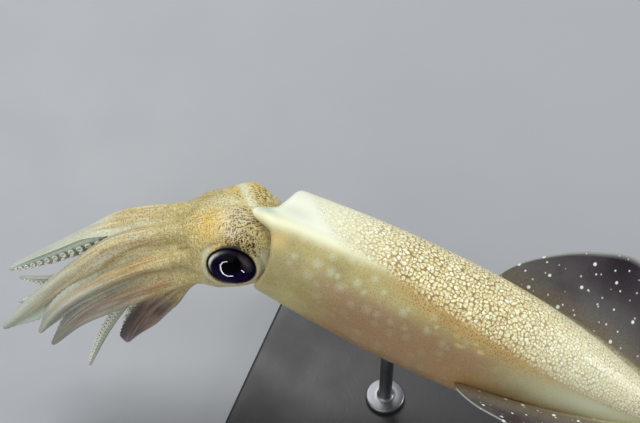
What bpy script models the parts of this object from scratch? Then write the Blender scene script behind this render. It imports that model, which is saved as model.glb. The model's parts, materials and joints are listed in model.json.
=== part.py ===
"""A market squid at life size, as a museum model: it hovers head up over a plain stand.

The body is laid out in the squid's own frame, in metres: +X runs to the tail, +Y to its right and +Z to
its back, and the origin is the middle of the mantle's open rim. An empty then tips that frame head up and
lifts it over the stand, whose underside is centred on the world's origin.
"""
import math
from typing import NamedTuple

import bmesh
import bpy
import numpy as np
from mathutils import Matrix, Vector

MM = 0.001
GAP = 0.3 * MM  # air between two pieces that touch

# Pose of the whole animal over its stand
PITCH = math.radians(14)
RIM_HEIGHT = 78 * MM
RIM_TO_STAND = 52 * MM  # how far behind the rim the stand's middle lies

# Mantle: the muscular sack behind the head
RIM_RADIUS = 15.2 * MM
MANTLE_RADIUS = 17.6 * MM
WIDEST_X = 42 * MM
TAIL_X = 131.2 * MM
TAIL_POWER = 1.33
TAIL_END_RADIUS = 0.9 * MM
BELLY_SAG = 0.4 * MM
LOBE_LENGTH = 8.8 * MM  # the pointed lobe of the rim on the squid's back
LOBE_WIDTH = math.radians(16)
LOBE_DIP = 4.4 * MM
BELLY_CORNER = 1.3 * MM  # the two small points of the rim beside the funnel
BELLY_CORNER_AT = math.radians(138)
BELLY_CORNER_WIDTH = math.radians(16)
RIM_SLANT = 1.0 * MM
RIM_THICKNESS = 1.0 * MM
WALL = 2.2 * MM
CAVITY_X = 14 * MM
COLLAR_X = 24 * MM  # where the collar's node ends
TAIL_NODE_X = 90 * MM  # where the tail's node starts
MANTLE_SIDES = 30

# Fins: two thin rhombs on the rear half
FIN_PLACE_FRONT = math.radians(92)  # from the back
FIN_PLACE_REAR = math.radians(72)
FIN_FRONT_X = 61.5 * MM
FIN_WIDEST_X = 97.5 * MM
FIN_REAR_X = 130.4 * MM
FIN_SPAN = 30 * MM
FIN_FRONT_POWER = 0.6
FIN_REAR_POWER = 0.85
FIN_CORNER = 6  # higher is a sharper outer corner
FIN_LEAST_SPAN = 1.0 * MM
FIN_ROOT_THICKNESS = 2.4 * MM
FIN_EDGE_THICKNESS = 0.55 * MM
FIN_LIFT = math.radians(38)
FIN_WAVE = math.radians(9)
FIN_WAVES = 1.15  # waves along its length
FIN_STATIONS = 15
FIN_STEPS = 6

# Head: a bent loft from inside the mantle to the ring of arms
HEAD_DROOP = math.radians(37)
HEAD_YAW = math.radians(16)
HEAD_TWIST = math.radians(10)
BEND_FROM = -6 * MM
BEND_TO = 12 * MM
CROWN_Q = 25.5 * MM  # distance along the head's axis from the rim to the arms
# distance along the axis, half width, height above it, depth below it, in millimetres
HEAD_PROFILE = (
    (-13.7, 9.4, 8.6, 5.6),
    (-4.0, 10.4, 9.1, 6.5),
    (3.0, 12.8, 10.6, 9.8),
    (10.0, 14.5, 12.6, 12.1),
    (17.0, 13.9, 12.5, 12.3),
    (25.5, 11.7, 11.5, 11.4),
)
HEAD_SIDES = 32
HEAD_STATIONS = 15

# Eyes: wide lenses set in sockets
EYE_Q = 9.8 * MM
EYE_RISE = math.radians(6)
EYE_TURN = math.radians(20)  # the long axis turned, front end up
EYE_OUT = 11.5 * MM
EYE_LONG = 7.9 * MM
EYE_TALL = 6.4 * MM
EYE_DEEP = 4.6 * MM
ORBIT = 1.5 * MM  # the raised margin of skin round an eye
ORBIT_DEEP = 2.6 * MM
EYE_SIDES = 22
EYE_STEPS = 10

# Arms: eight in a ring, two tentacles inside it
CROWN_RADIUS = 8.6 * MM
FLARE = math.radians(6)
ARM_ROOT = 3.0 * MM  # half width at the crown
ARM_TIP = 0.35 * MM
ARM_TAPER = 0.5
ARM_SWELL_BY = 0.35  # the share of its length by which an arm has swelled or thinned
ARM_SIDES = 12
ARM_STATIONS = 14
ORAL_FLATNESS = 0.75
KEEL_WIDTH = math.radians(25)
TENTACLE_CIRCLE = 3.3 * MM
TENTACLE_RADIUS = 1.2 * MM
CLUB_RADIUS = 2.2 * MM
CLUB_FROM = 0.6


class Reach(NamedTuple):
    """How a limb leaves the crown and bends, in degrees and millimetres."""

    place: float  # round the crown, from the back and positive to the left
    length: float
    droop: float  # the direction that it settles to
    yaw: float
    droop_curl: float  # the turn of that direction at the tip
    yaw_curl: float
    swell: float = 0  # how much wider its middle is
    keel: float = 0.25  # its height as a share of the half width


ARMS = {
    "arm_right_1": Reach(-22.5, 60, 49, 22, -27, 25, 0.08),
    "arm_right_2": Reach(-67.5, 64, 57, 50, -43, -38, -0.15),
    "arm_right_3": Reach(-112.5, 66, 52, 41, -43, -2, 0, 0.7),
    "arm_right_4": Reach(-157.5, 64, 61, 61, 8, 26, -0.45),
    "arm_left_1": Reach(22.5, 66, 54, 46, -13, -3, 0.28),
    "arm_left_2": Reach(67.5, 55, 39, 39, 34, 16, -0.14),
    "arm_left_3": Reach(112.5, 52, 43, 34, 7, 30, 0.12, 0.5),
    "arm_left_4": Reach(157.5, 48, 76, 58, 5, 35, 0.1, 0.9),
}
TENTACLES = {
    "tentacle_left": Reach(135, 46, 47, 14, 18, 15),
    "tentacle_right": Reach(-100, 43, 36, 33, 24, 0),
}

# Suckers
SUCKER_SHARE = 0.36  # radius as a share of the arm's half width
SUCKER_SIDES = 5
SUCKER_PITCH = 1.5 * MM
SUCKER_PITCH_SHARE = 1.2  # of the half width
SUCKER_FROM = 0.12
SUCKER_TO = 0.95

# Funnel under the neck, and the mouth inside the ring of arms
FUNNEL_DROP = 9.4 * MM
FUNNEL_BEND_DOWN = 7.5 * MM
FUNNEL_BEND_LEFT = 3.2 * MM
FUNNEL_LENGTH = 27 * MM
FUNNEL_ROOT = (6.9 * MM, 3.0 * MM)  # half width and half height
FUNNEL_TIP = (3.0 * MM, 2.5 * MM)
FUNNEL_WALL = 0.9 * MM
MOUTH_RADIUS = 2.0 * MM
MOUTH_RISE = 1.2 * MM
MOUTH_LENGTH = 5.0 * MM
# share of its length and share of its radius, from the root over the lips to the beak's tip
MOUTH_PROFILE = ((0, 1), (0.45, 1.0), (0.75, 0.82), (0.9, 0.55), (0.78, 0.34), (1.0, 0.12))

# Stand
BASE_LENGTH = 120 * MM
BASE_WIDTH = 76 * MM
BASE_HEIGHT = 8 * MM
BASE_CORNER = 14 * MM
BASE_BEVEL = 1.2 * MM
ROD_RADIUS = 2.0 * MM
ROD_SIDES = 20
FOOT_RADIUS = 6.0 * MM
FOOT_HEIGHT = 2.0 * MM
ROD_AT = (36 * MM, 84 * MM)


def material(name, color, roughness, metallic=0.0):
    """A plain Principled finish."""
    made = bpy.data.materials.new(name)
    made.use_nodes = True
    shader = made.node_tree.nodes["Principled BSDF"]
    shader.inputs["Base Color"].default_value = (*color, 1)
    shader.inputs["Roughness"].default_value = roughness
    shader.inputs["Metallic"].default_value = metallic
    return made


def smooth(x):
    """0 to 1 with level ends."""
    x = np.clip(x, 0, 1)
    return x * x * (3 - 2 * x)


def add_object(name, mesh, finish, parent=None):
    """Links a mesh as a named object."""
    made = bpy.data.objects.new(name, mesh)
    bpy.context.scene.collection.objects.link(made)
    made.parent = parent
    mesh.materials.clear()
    mesh.materials.append(finish)
    return made


def loft(name, rings, diagonals=None):
    """Joins rings of equal length by quads, and closes the first and the last with a flat face.

    Where diagonals are given, one for each step round a ring, each quad is split in two along them.
    """
    rings = [np.asarray(ring, float) for ring in rings]
    count = len(rings[0])
    points = np.concatenate(rings)
    faces = []
    for k in range(len(rings) - 1):
        for i in range(count):
            j = (i + 1) % count
            quad = (k * count + i, k * count + j, (k + 1) * count + j, (k + 1) * count + i)
            if diagonals is None:
                faces.append(quad)
            elif diagonals[i]:
                faces += [(quad[0], quad[1], quad[2]), (quad[0], quad[2], quad[3])]
            else:
                faces += [(quad[0], quad[1], quad[3]), (quad[1], quad[2], quad[3])]
    last = (len(rings) - 1) * count
    faces.append(tuple(range(count)))
    faces.append(tuple(last + i for i in reversed(range(count))))
    mesh = bpy.data.meshes.new(name)
    mesh.from_pydata(points.tolist(), [], faces)
    built = bmesh.new()
    built.from_mesh(mesh)
    bmesh.ops.recalc_face_normals(built, faces=built.faces)
    built.to_mesh(mesh)
    built.free()
    mesh.shade_smooth()
    return mesh


def islands(built):
    """The separate closed surfaces of a bmesh, as lists of faces."""
    left = set(built.faces)
    found = []
    while left:
        seed = left.pop()
        island = [seed]
        stack = [seed]
        while stack:
            for edge in stack.pop().edges:
                for face in edge.link_faces:
                    if face in left:
                        left.remove(face)
                        island.append(face)
                        stack.append(face)
        found.append(island)
    return found


def breadth(island):
    """The diagonal of the box round a set of faces."""
    points = np.array([vert.co for face in island for vert in face.verts])
    return float(np.linalg.norm(points.max(0) - points.min(0)))


def keep_largest(mesh):
    """Leaves only the largest closed surface in a mesh."""
    built = bmesh.new()
    built.from_mesh(mesh)
    found = sorted(islands(built), key=breadth)
    for island in found[:-1]:
        bmesh.ops.delete(built, geom=island, context="FACES")
    loose = [vert for vert in built.verts if not vert.link_faces]
    bmesh.ops.delete(built, geom=loose, context="VERTS")
    built.to_mesh(mesh)
    built.free()


def combined(base, parts, operation):
    """Applies one Boolean of a mesh with a list of closed meshes, and returns the new mesh."""
    group = bpy.data.collections.new("operands")
    bpy.context.scene.collection.children.link(group)
    for part in parts:
        group.objects.link(bpy.data.objects.new("operand", part))
    body = bpy.data.objects.new("combined", base)
    bpy.context.scene.collection.objects.link(body)
    cut = body.modifiers.new("combine", "BOOLEAN")
    cut.operation = operation
    cut.operand_type = "COLLECTION"
    cut.collection = group
    cut.solver = "EXACT"
    bpy.context.view_layer.update()
    seen = body.evaluated_get(bpy.context.evaluated_depsgraph_get())
    made = bpy.data.meshes.new_from_object(seen)
    for operand in list(group.objects):
        bpy.data.objects.remove(operand)
    bpy.data.collections.remove(group)
    bpy.data.objects.remove(body)
    keep_largest(made)
    return made


# The mantle
def mantle_radius(x):
    """Radius at a distance behind the rim. It dips in under the lobe ahead of the rim."""
    x = np.asarray(x, float)
    ahead = RIM_RADIUS - LOBE_DIP * np.clip(-x / LOBE_LENGTH, 0, 1) ** 1.2
    swell = RIM_RADIUS + (MANTLE_RADIUS - RIM_RADIUS) * np.sin(np.clip(x / WIDEST_X, 0, 1) * math.pi / 2)
    share = np.clip((x - WIDEST_X) / (TAIL_X - WIDEST_X), 0, 1)
    taper = MANTLE_RADIUS * np.cos(share**TAIL_POWER * math.pi / 2)
    radius = np.where(x < 0, ahead, np.where(x < WIDEST_X, swell, taper))
    return np.maximum(radius, TAIL_END_RADIUS)


def mantle_point(x, angle, extra=0.0):
    """A point of the mantle at an angle from the back, positive to the left."""
    x = np.asarray(x, float) + 0 * np.asarray(angle, float)
    radius = mantle_radius(x) + extra
    middle = -BELLY_SAG * np.sin(np.clip(x / TAIL_X, 0, 1) * math.pi)
    return np.stack([x, -radius * np.sin(angle), middle + radius * np.cos(angle)], -1)


def rim_x(angle):
    """How far back the rim lies at an angle from the back."""
    turned = np.abs(angle)
    lobe = -LOBE_LENGTH * np.exp(-((turned / LOBE_WIDTH) ** 2))
    corners = -BELLY_CORNER * np.exp(-(((turned - BELLY_CORNER_AT) / BELLY_CORNER_WIDTH) ** 2))
    return lobe + corners + RIM_SLANT * (1 - np.cos(angle))


def mantle_collar():
    """The open front of the mantle: outside, round the rim, and back to the cavity's floor."""
    angle = np.linspace(-math.pi, math.pi, MANTLE_SIDES, endpoint=False)
    rim = rim_x(angle)
    rings = [mantle_point(rim + (COLLAR_X - rim) * share, angle) for share in (1, 0.7, 0.42, 0.2, 0.07, 0)]
    for share in (0.03, 0.25, 0.6, 1):
        thickness = RIM_THICKNESS + (WALL - RIM_THICKNESS) * share
        rings.append(mantle_point(rim + (CAVITY_X - rim) * share, angle, -thickness))
    return loft("mantle_collar", rings)


def mantle_length(name, start, end, stations, extra=0.0):
    """A closed length of the mantle between two planes, its rings closer together towards the tail."""
    angle = np.linspace(-math.pi, math.pi, MANTLE_SIDES, endpoint=False)
    shares = np.sin(np.linspace(0, math.pi / 2, stations))
    return loft(name, [mantle_point(start + (end - start) * share, angle, extra) for share in shares])


# The fins
def fin_span(x):
    """How far a fin reaches from the mantle: a power curve from each end, met in a rounded corner."""
    front = np.maximum((x - FIN_FRONT_X) / (FIN_WIDEST_X - FIN_FRONT_X), 1e-4) ** FIN_FRONT_POWER
    rear = np.maximum((FIN_REAR_X - x) / (FIN_REAR_X - FIN_WIDEST_X), 1e-4) ** FIN_REAR_POWER
    share = (front**-FIN_CORNER + rear**-FIN_CORNER) ** (-1 / FIN_CORNER)
    return np.maximum(FIN_SPAN * share, FIN_LEAST_SPAN)


def fin(name, side):
    """One fin, lofted from front to rear. Each ring runs out over the top and back underneath.

    Its root follows the mantle's side, and both faces are split into triangles alike.
    """
    stations = 0.5 - 0.5 * np.cos(np.linspace(0, math.pi, FIN_STATIONS))
    out = np.linspace(0, 1, FIN_STEPS + 1)
    rings = []
    for share in stations:
        x = FIN_FRONT_X + (FIN_REAR_X - FIN_FRONT_X) * share
        radius = float(mantle_radius(x))
        place = FIN_PLACE_FRONT + (FIN_PLACE_REAR - FIN_PLACE_FRONT) * share
        span = float(fin_span(x))
        root = min(FIN_ROOT_THICKNESS, 0.7 * radius, FIN_EDGE_THICKNESS + 0.25 * (span - FIN_LEAST_SPAN))
        thickness = FIN_EDGE_THICKNESS + (root - FIN_EDGE_THICKNESS) * (1 - out) ** 1.5
        wave = math.sin(2 * math.pi * (FIN_WAVES * share + 0.1 * side))
        lift = FIN_LIFT + FIN_WAVE * out * wave
        step = span / FIN_STEPS
        start = mantle_point(x, side * place, GAP)
        line_y = start[1] - side * np.concatenate([[0], np.cumsum(np.cos(lift[1:]) * step)])
        line_z = start[2] + np.concatenate([[0], np.cumsum(np.sin(lift[1:]) * step)])
        faces = []
        for face in (1, -1):
            rows_y = line_y + face * side * np.sin(lift) * thickness / 2
            rows_z = line_z + face * np.cos(lift) * thickness / 2
            rows = np.stack([np.full_like(out, x), rows_y, rows_z], 1)
            rows[0] = mantle_point(x, side * (place - face * root / 2 / radius), GAP)
            faces.append(rows)
        rings.append(np.concatenate([faces[0], faces[1][::-1]]))
    return loft(name, rings, [True] * len(out) + [False] * len(out))


# The head
def direction(droop, yaw):
    """Forward, turned down by droop and to the left by yaw."""
    droop = np.asarray(droop, float)
    yaw = np.asarray(yaw, float)
    return np.stack([-np.cos(droop) * np.cos(yaw), -np.cos(droop) * np.sin(yaw), -np.sin(droop)], -1)


def run_along(directions, step):
    """Points a step apart that follow a list of directions."""
    middle = (directions[1:] + directions[:-1]) / 2
    return np.concatenate([np.zeros((1, 3)), np.cumsum(middle * step, 0)])


def head_frame(q):
    """Point, forward, up and right at a distance along the head's bent axis."""
    fine = np.linspace(-16 * MM, 30 * MM, 921)
    bend = smooth((fine - BEND_FROM) / (BEND_TO - BEND_FROM))
    line = run_along(direction(HEAD_DROOP * bend, HEAD_YAW * bend), fine[1] - fine[0])
    line -= [np.interp(0, fine, line[:, axis]) for axis in range(3)]
    point = np.array([np.interp(q, fine, line[:, axis]) for axis in range(3)])
    here = float(smooth((q - BEND_FROM) / (BEND_TO - BEND_FROM)))
    droop, yaw, twist = HEAD_DROOP * here, HEAD_YAW * here, HEAD_TWIST * here
    forward = direction(droop, yaw)
    up = np.array([-math.sin(droop) * math.cos(yaw), -math.sin(droop) * math.sin(yaw), math.cos(droop)])
    right = np.cross(forward, up)
    up = up * math.cos(twist) + right * math.sin(twist)
    return point, forward, up, np.cross(forward, up)


def head_sizes(q):
    """Half width, height and depth of the head, from smooth cubics through its profile."""
    table = np.array(HEAD_PROFILE) * MM
    places = table[:, 0]
    k = int(np.clip(np.searchsorted(places, q) - 1, 0, len(places) - 2))
    slopes = np.gradient(table[:, 1:], places, axis=0)
    wide = places[k + 1] - places[k]
    t = (q - places[k]) / wide
    start, end = table[k, 1:], table[k + 1, 1:]
    return (
        (2 * t**3 - 3 * t**2 + 1) * start
        + (t**3 - 2 * t**2 + t) * wide * slopes[k]
        + (3 * t**2 - 2 * t**3) * end
        + (t**3 - t**2) * wide * slopes[k + 1]
    )


def head_ring(q, extra=0.0):
    """A ring of the head's skin round its axis."""
    point, _, up, right = head_frame(q)
    width, above, below = head_sizes(q) + extra
    angle = np.linspace(-math.pi, math.pi, HEAD_SIDES, endpoint=False)
    height = np.where(np.cos(angle) > 0, above, below) * np.cos(angle)
    return point + np.outer(height, up) - np.outer(width * np.sin(angle), right)


def eye_frame(side):
    """Centre of an eye, and its long, short and outward directions. Side is 1 for the left."""
    point, forward, up, right = head_frame(EYE_Q)
    level = -side * right
    outward = level * math.cos(EYE_RISE) + up * math.sin(EYE_RISE)
    upward = up * math.cos(EYE_RISE) - level * math.sin(EYE_RISE)
    along = forward * math.cos(EYE_TURN) + upward * math.sin(EYE_TURN)
    across = upward * math.cos(EYE_TURN) - forward * math.sin(EYE_TURN)
    return point + outward * EYE_OUT, along, across, outward


def eye(name, side, extra=0.0, deep=EYE_DEEP):
    """A wide lens, as rings from its inner pole to its outer one."""
    centre, along, across, outward = eye_frame(side)
    turn = np.linspace(0, 2 * math.pi, EYE_SIDES, endpoint=False)
    rings = []
    for polar in np.linspace(math.pi * 0.94, math.pi * 0.04, EYE_STEPS):
        flat = np.outer(np.cos(turn) * (EYE_LONG + extra), along)
        flat = flat + np.outer(np.sin(turn) * (EYE_TALL + extra), across)
        rings.append(centre + flat * math.sin(polar) + outward * (deep + extra) * math.cos(polar))
    return loft(name, rings)


def head():
    """The head from the mantle's cavity to the crown, with sockets for the eyes and a groove for the funnel."""
    first = HEAD_PROFILE[0][0] * MM
    stations = np.linspace(first, CROWN_Q - GAP, HEAD_STATIONS)
    skin = loft("head", [head_ring(q) for q in stations])
    margins = [eye("margin", side, ORBIT, ORBIT_DEEP) for side in (1, -1)]
    skin = combined(skin, margins, "UNION")
    cutters = [eye("socket", side, GAP) for side in (1, -1)]
    cutters.append(funnel("groove", GAP))
    return combined(skin, cutters, "DIFFERENCE")


# The funnel and the mouth
def funnel(name, extra=0.0):
    """A flattened cone under the neck, open at its front end unless it is a cutter."""
    lengths = np.linspace(0, 1, 8)
    turn = np.linspace(0, 2 * math.pi, 20, endpoint=False)

    def ring(share, inset):
        x = CAVITY_X - GAP + extra - (FUNNEL_LENGTH + 2 * extra) * share
        y = -FUNNEL_BEND_LEFT * share**2
        z = -FUNNEL_DROP - FUNNEL_BEND_DOWN * share**1.8
        width, height = (a + (b - a) * share + extra - inset for a, b in zip(FUNNEL_ROOT, FUNNEL_TIP))
        return np.stack([np.full_like(turn, x), y - width * np.sin(turn), z + height * np.cos(turn)], 1)

    rings = [ring(share, 0) for share in lengths]
    if not extra:
        rings += [ring(share, FUNNEL_WALL) for share in (0.99, 0.85, 0.75)]
    return loft(name, rings)


def mouth():
    """The round lips in the middle of the crown, with the tip of the beak."""
    point, forward, up, right = head_frame(CROWN_Q)
    turn = np.linspace(0, 2 * math.pi, 16, endpoint=False)
    flat = np.outer(np.cos(turn), up) + np.outer(np.sin(turn), right)
    rings = []
    for share, width in MOUTH_PROFILE:
        rings.append(point + up * MOUTH_RISE + forward * MOUTH_LENGTH * share + flat * MOUTH_RADIUS * width)
    return loft("mouth", rings)


# The arms and tentacles
def limb_path(reach, circle, count):
    """Points, directions and outward vectors along a limb.

    It leaves the crown nearly along the head, settles to its own droop and yaw by half way, and curls
    towards its tip.
    """
    angle = math.radians(reach.place)
    point, forward, up, right = head_frame(CROWN_Q)
    outward = math.cos(angle) * up - math.sin(angle) * right
    along = np.linspace(0, 1, count)
    settle = smooth(along / 0.5)
    curl = smooth((along - 0.5) / 0.5)
    first = np.array([HEAD_DROOP - FLARE * math.cos(angle), HEAD_YAW + FLARE * math.sin(angle)])
    settled = np.radians([reach.droop, reach.yaw])
    turned = first + np.outer(settle, settled - first)
    turned += np.outer(curl, np.radians([reach.droop_curl, reach.yaw_curl]))
    tangents = direction(turned[:, 0], turned[:, 1])
    points = point + outward * circle + run_along(tangents, reach.length * MM / (count - 1))
    tangents[0] = forward
    outwards = np.zeros_like(tangents)
    for k, tangent in enumerate(tangents):
        outward = outward - tangent * outward.dot(tangent)
        outward /= np.linalg.norm(outward)
        outwards[k] = outward
    return points, tangents, outwards


class Limb:
    """A limb that can be read at any share of its length."""

    def __init__(self, reach, circle, half_width):
        self.length = reach.length * MM
        self.keel = reach.keel
        self.half_width = half_width
        self.along = np.linspace(0, 1, 401)
        self.points, self.tangents, self.outwards = limb_path(reach, circle, 401)

    def frame(self, share):
        """Point, forward, outward and sideways at a share of the length."""
        point, forward, outward = (
            np.array([np.interp(share, self.along, rows[:, axis]) for axis in range(3)])
            for rows in (self.points, self.tangents, self.outwards)
        )
        forward /= np.linalg.norm(forward)
        outward -= forward * outward.dot(forward)
        outward /= np.linalg.norm(outward)
        return point, forward, outward, np.cross(forward, outward)

    def ring(self, share):
        """The limb's section: round outside with a keel, flatter on the side of the suckers."""
        point, _, outward, sideways = self.frame(share)
        width = self.half_width(share)
        turn = np.linspace(-math.pi, math.pi, ARM_SIDES, endpoint=False)
        depth = np.where(np.cos(turn) > 0, 0.95, ORAL_FLATNESS) * np.cos(turn)
        grown = float(smooth(share / 0.25)) * float(smooth((1.02 - share) / 0.3))
        depth = depth + self.keel * grown * np.exp(-((turn / KEEL_WIDTH) ** 2))
        return point + np.outer(width * depth, outward) + np.outer(width * np.sin(turn), sideways)


def sucker(point, forward, outward, sideways, width, row):
    """A short flared cup, sunk in the oral face of a limb."""
    radius = SUCKER_SHARE * width
    turn = np.linspace(0, 2 * math.pi, SUCKER_SIDES, endpoint=False) + row * 0.3
    flat = np.outer(np.cos(turn), forward) + np.outer(np.sin(turn), sideways)
    foot = point + sideways * (row * 0.5 * width) - outward * (ORAL_FLATNESS * 0.3 * width)
    top = foot - outward * (ORAL_FLATNESS * 0.55 * width + 0.75 * radius)
    return loft("sucker", [foot + flat * radius * 0.8, top + flat * radius])


def sucker_places(limb, start, end):
    """Shares of the length at which the pairs of suckers stand, closer where the limb is thin."""
    places = []
    share = start
    while share < end:
        places.append(share)
        share += (SUCKER_PITCH + SUCKER_PITCH_SHARE * limb.half_width(share)) / limb.length
    return places


def sucker_pairs(limb, places):
    """Two suckers side by side at each of the places."""
    rows = (-1, 1)
    return [sucker(*limb.frame(share), limb.half_width(share), row) for share in places for row in rows]


def arm_halves(name, limb):
    """The two lengths of an arm, parted by a thin cut between two pairs of suckers near its middle."""
    places = sucker_places(limb, SUCKER_FROM, SUCKER_TO)
    before = max(k for k, share in enumerate(places) if share < 0.5)
    split = (places[before] + places[before + 1]) / 2
    half_gap = GAP / 2 / limb.length
    made = {}
    for half, start, end in (("base", 0, split - half_gap), ("tip", split + half_gap, 1)):
        body = loft(name, [limb.ring(share) for share in np.linspace(start, end, ARM_STATIONS // 2)])
        cups = sucker_pairs(limb, [share for share in places if start < share < end])
        made[f"{name}_{half}"] = combined(body, cups, "UNION")
    return made


def arm_half_width(share, swell):
    """Half width of an arm at a share of its length: it swells or thins early, then tapers to its tip."""
    middle = ARM_ROOT * (1 + swell * float(smooth(share / ARM_SWELL_BY)))
    return ARM_TIP + (middle - ARM_TIP) * (1 - share**2) ** ARM_TAPER


def club_half_width(share):
    """Half width of a tentacle: an even stalk, then a club that narrows to a point."""
    swelled = TENTACLE_RADIUS + (CLUB_RADIUS - TENTACLE_RADIUS) * float(smooth((share - CLUB_FROM) / 0.14))
    beyond = max(0.0, (share - CLUB_FROM) / (1 - CLUB_FROM))
    return swelled * max(1 - beyond**2.2, 0.16)


def arms():
    """The sixteen arm nodes."""
    made = {}
    for name, reach in ARMS.items():
        limb = Limb(reach, CROWN_RADIUS, lambda share, swell=reach.swell: arm_half_width(share, swell))
        made |= arm_halves(name, limb)
    return made


def tentacles():
    """The four tentacle nodes: a bare stalk and a club with suckers, on each side."""
    made = {}
    for name, reach in TENTACLES.items():
        limb = Limb(reach, TENTACLE_CIRCLE, club_half_width)
        half_gap = GAP / 2 / limb.length
        stalk = [limb.ring(share) for share in np.linspace(0, CLUB_FROM - half_gap, 7)]
        club = loft(name, [limb.ring(share) for share in np.linspace(CLUB_FROM + half_gap, 1, 8)])
        cups = sucker_pairs(limb, sucker_places(limb, CLUB_FROM + 0.06, 0.94))
        made[f"{name}_stalk"] = loft(name, stalk)
        made[f"{name}_club"] = combined(club, cups, "UNION")
    return made


# The stand
def stand_base():
    """A flat plate with round corners and a bevelled edge."""
    corners = []
    for quarter in range(4):
        centre_x = (BASE_LENGTH / 2 - BASE_CORNER) * (1 if quarter in (0, 3) else -1)
        centre_y = (BASE_WIDTH / 2 - BASE_CORNER) * (1 if quarter in (0, 1) else -1)
        for turn in np.linspace(0, math.pi / 2, 7) + quarter * math.pi / 2:
            corners.append((centre_x, centre_y, math.cos(turn), math.sin(turn)))
    corners = np.array(corners)
    rings = []
    for height, inset in ((0, 0), (BASE_HEIGHT - BASE_BEVEL, 0), (BASE_HEIGHT, BASE_BEVEL)):
        flat = corners[:, :2] + corners[:, 2:] * (BASE_CORNER - inset)
        rings.append(np.column_stack([flat, np.full(len(flat), height)]))
    return loft("stand_base", rings)


def to_world(point):
    """The squid's frame turned and lifted over the stand."""
    placed = Matrix.Translation((-RIM_TO_STAND, 0, RIM_HEIGHT)) @ Matrix.Rotation(PITCH, 4, "Y")
    return placed @ Vector(point)


def stand_rod(name, x, cutter):
    """An upright rod on a small foot, its top cut to the mantle's belly."""
    top = to_world((x, 0, 0))
    turn = np.linspace(0, 2 * math.pi, ROD_SIDES, endpoint=False)
    floor = BASE_HEIGHT + GAP
    rings = []
    steps = (
        (floor, FOOT_RADIUS),
        (floor + FOOT_HEIGHT * 0.6, FOOT_RADIUS),
        (floor + FOOT_HEIGHT, FOOT_RADIUS * 0.86),
        (floor + FOOT_HEIGHT, ROD_RADIUS),
        (top.z, ROD_RADIUS),
    )
    for height, radius in steps:
        rings.append(
            np.column_stack(
                [top.x + radius * np.cos(turn), radius * np.sin(turn), np.full(ROD_SIDES, height)]
            )
        )
    return combined(loft(name, rings), [cutter], "DIFFERENCE")


def main():
    """Builds every node."""
    for old in list(bpy.data.objects):
        bpy.data.objects.remove(old)
    skin = material("squid_skin", (0.66, 0.57, 0.33), 0.4)
    fin_skin = material("fin_membrane", (0.42, 0.42, 0.38), 0.35)
    arm_skin = material("arm_skin", (0.68, 0.60, 0.42), 0.4)
    eye_finish = material("eye", (0.03, 0.02, 0.07), 0.1)
    plate = material("stand_plate", (0.04, 0.04, 0.045), 0.5)
    steel = material("stand_steel", (0.62, 0.62, 0.63), 0.3, 1.0)

    squid = bpy.data.objects.new("squid_frame", None)
    bpy.context.scene.collection.objects.link(squid)
    squid.location = (-RIM_TO_STAND, 0, RIM_HEIGHT)
    squid.rotation_euler = (0, PITCH, 0)

    add_object("mantle_collar", mantle_collar(), skin, squid)
    body = mantle_length("mantle_body", COLLAR_X + GAP, TAIL_NODE_X - GAP / 2, 10)
    add_object("mantle_body", body, skin, squid)
    tail = mantle_length("mantle_tail", TAIL_NODE_X + GAP / 2, TAIL_X, 10)
    add_object("mantle_tail", tail, skin, squid)
    add_object("fin_left", fin("fin_left", 1), fin_skin, squid)
    add_object("fin_right", fin("fin_right", -1), fin_skin, squid)
    add_object("head", head(), skin, squid)
    add_object("eye_left", eye("eye_left", 1), eye_finish, squid)
    add_object("eye_right", eye("eye_right", -1), eye_finish, squid)
    add_object("funnel", funnel("funnel"), skin, squid)
    add_object("mouth", mouth(), arm_skin, squid)
    for name, mesh in (arms() | tentacles()).items():
        add_object(name, mesh, arm_skin, squid)

    add_object("stand_base", stand_base(), plate)
    for name, x in zip(("stand_rod_front", "stand_rod_rear"), ROD_AT):
        cutter = mantle_length("cutter", COLLAR_X, TAIL_X, 18, GAP)
        cutter.transform(Matrix.Translation((-RIM_TO_STAND, 0, RIM_HEIGHT)) @ Matrix.Rotation(PITCH, 4, "Y"))
        add_object(name, stand_rod(name, x, cutter), steel)


main()
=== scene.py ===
# %% [markdown]
# # A squid on a display stand
# The animal is a small squid of inshore waters, shown at life size as it hovers with its head turned and its
# arms bent down. A swimmer can't stand by itself, so the model rests on two slim rods over a flat plate, as
# models in museums do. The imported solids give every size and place. This lesson puts a living surface round
# them: one skin over the mantle and fins, one over the head and its eight arms, and separate pieces for
# the suckers, eyes, mouth, funnel and tentacles.

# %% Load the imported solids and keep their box
import json
import math
from functools import partial

import bmesh
import bpy
import numpy as np
from mathutils import Matrix, Vector

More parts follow.
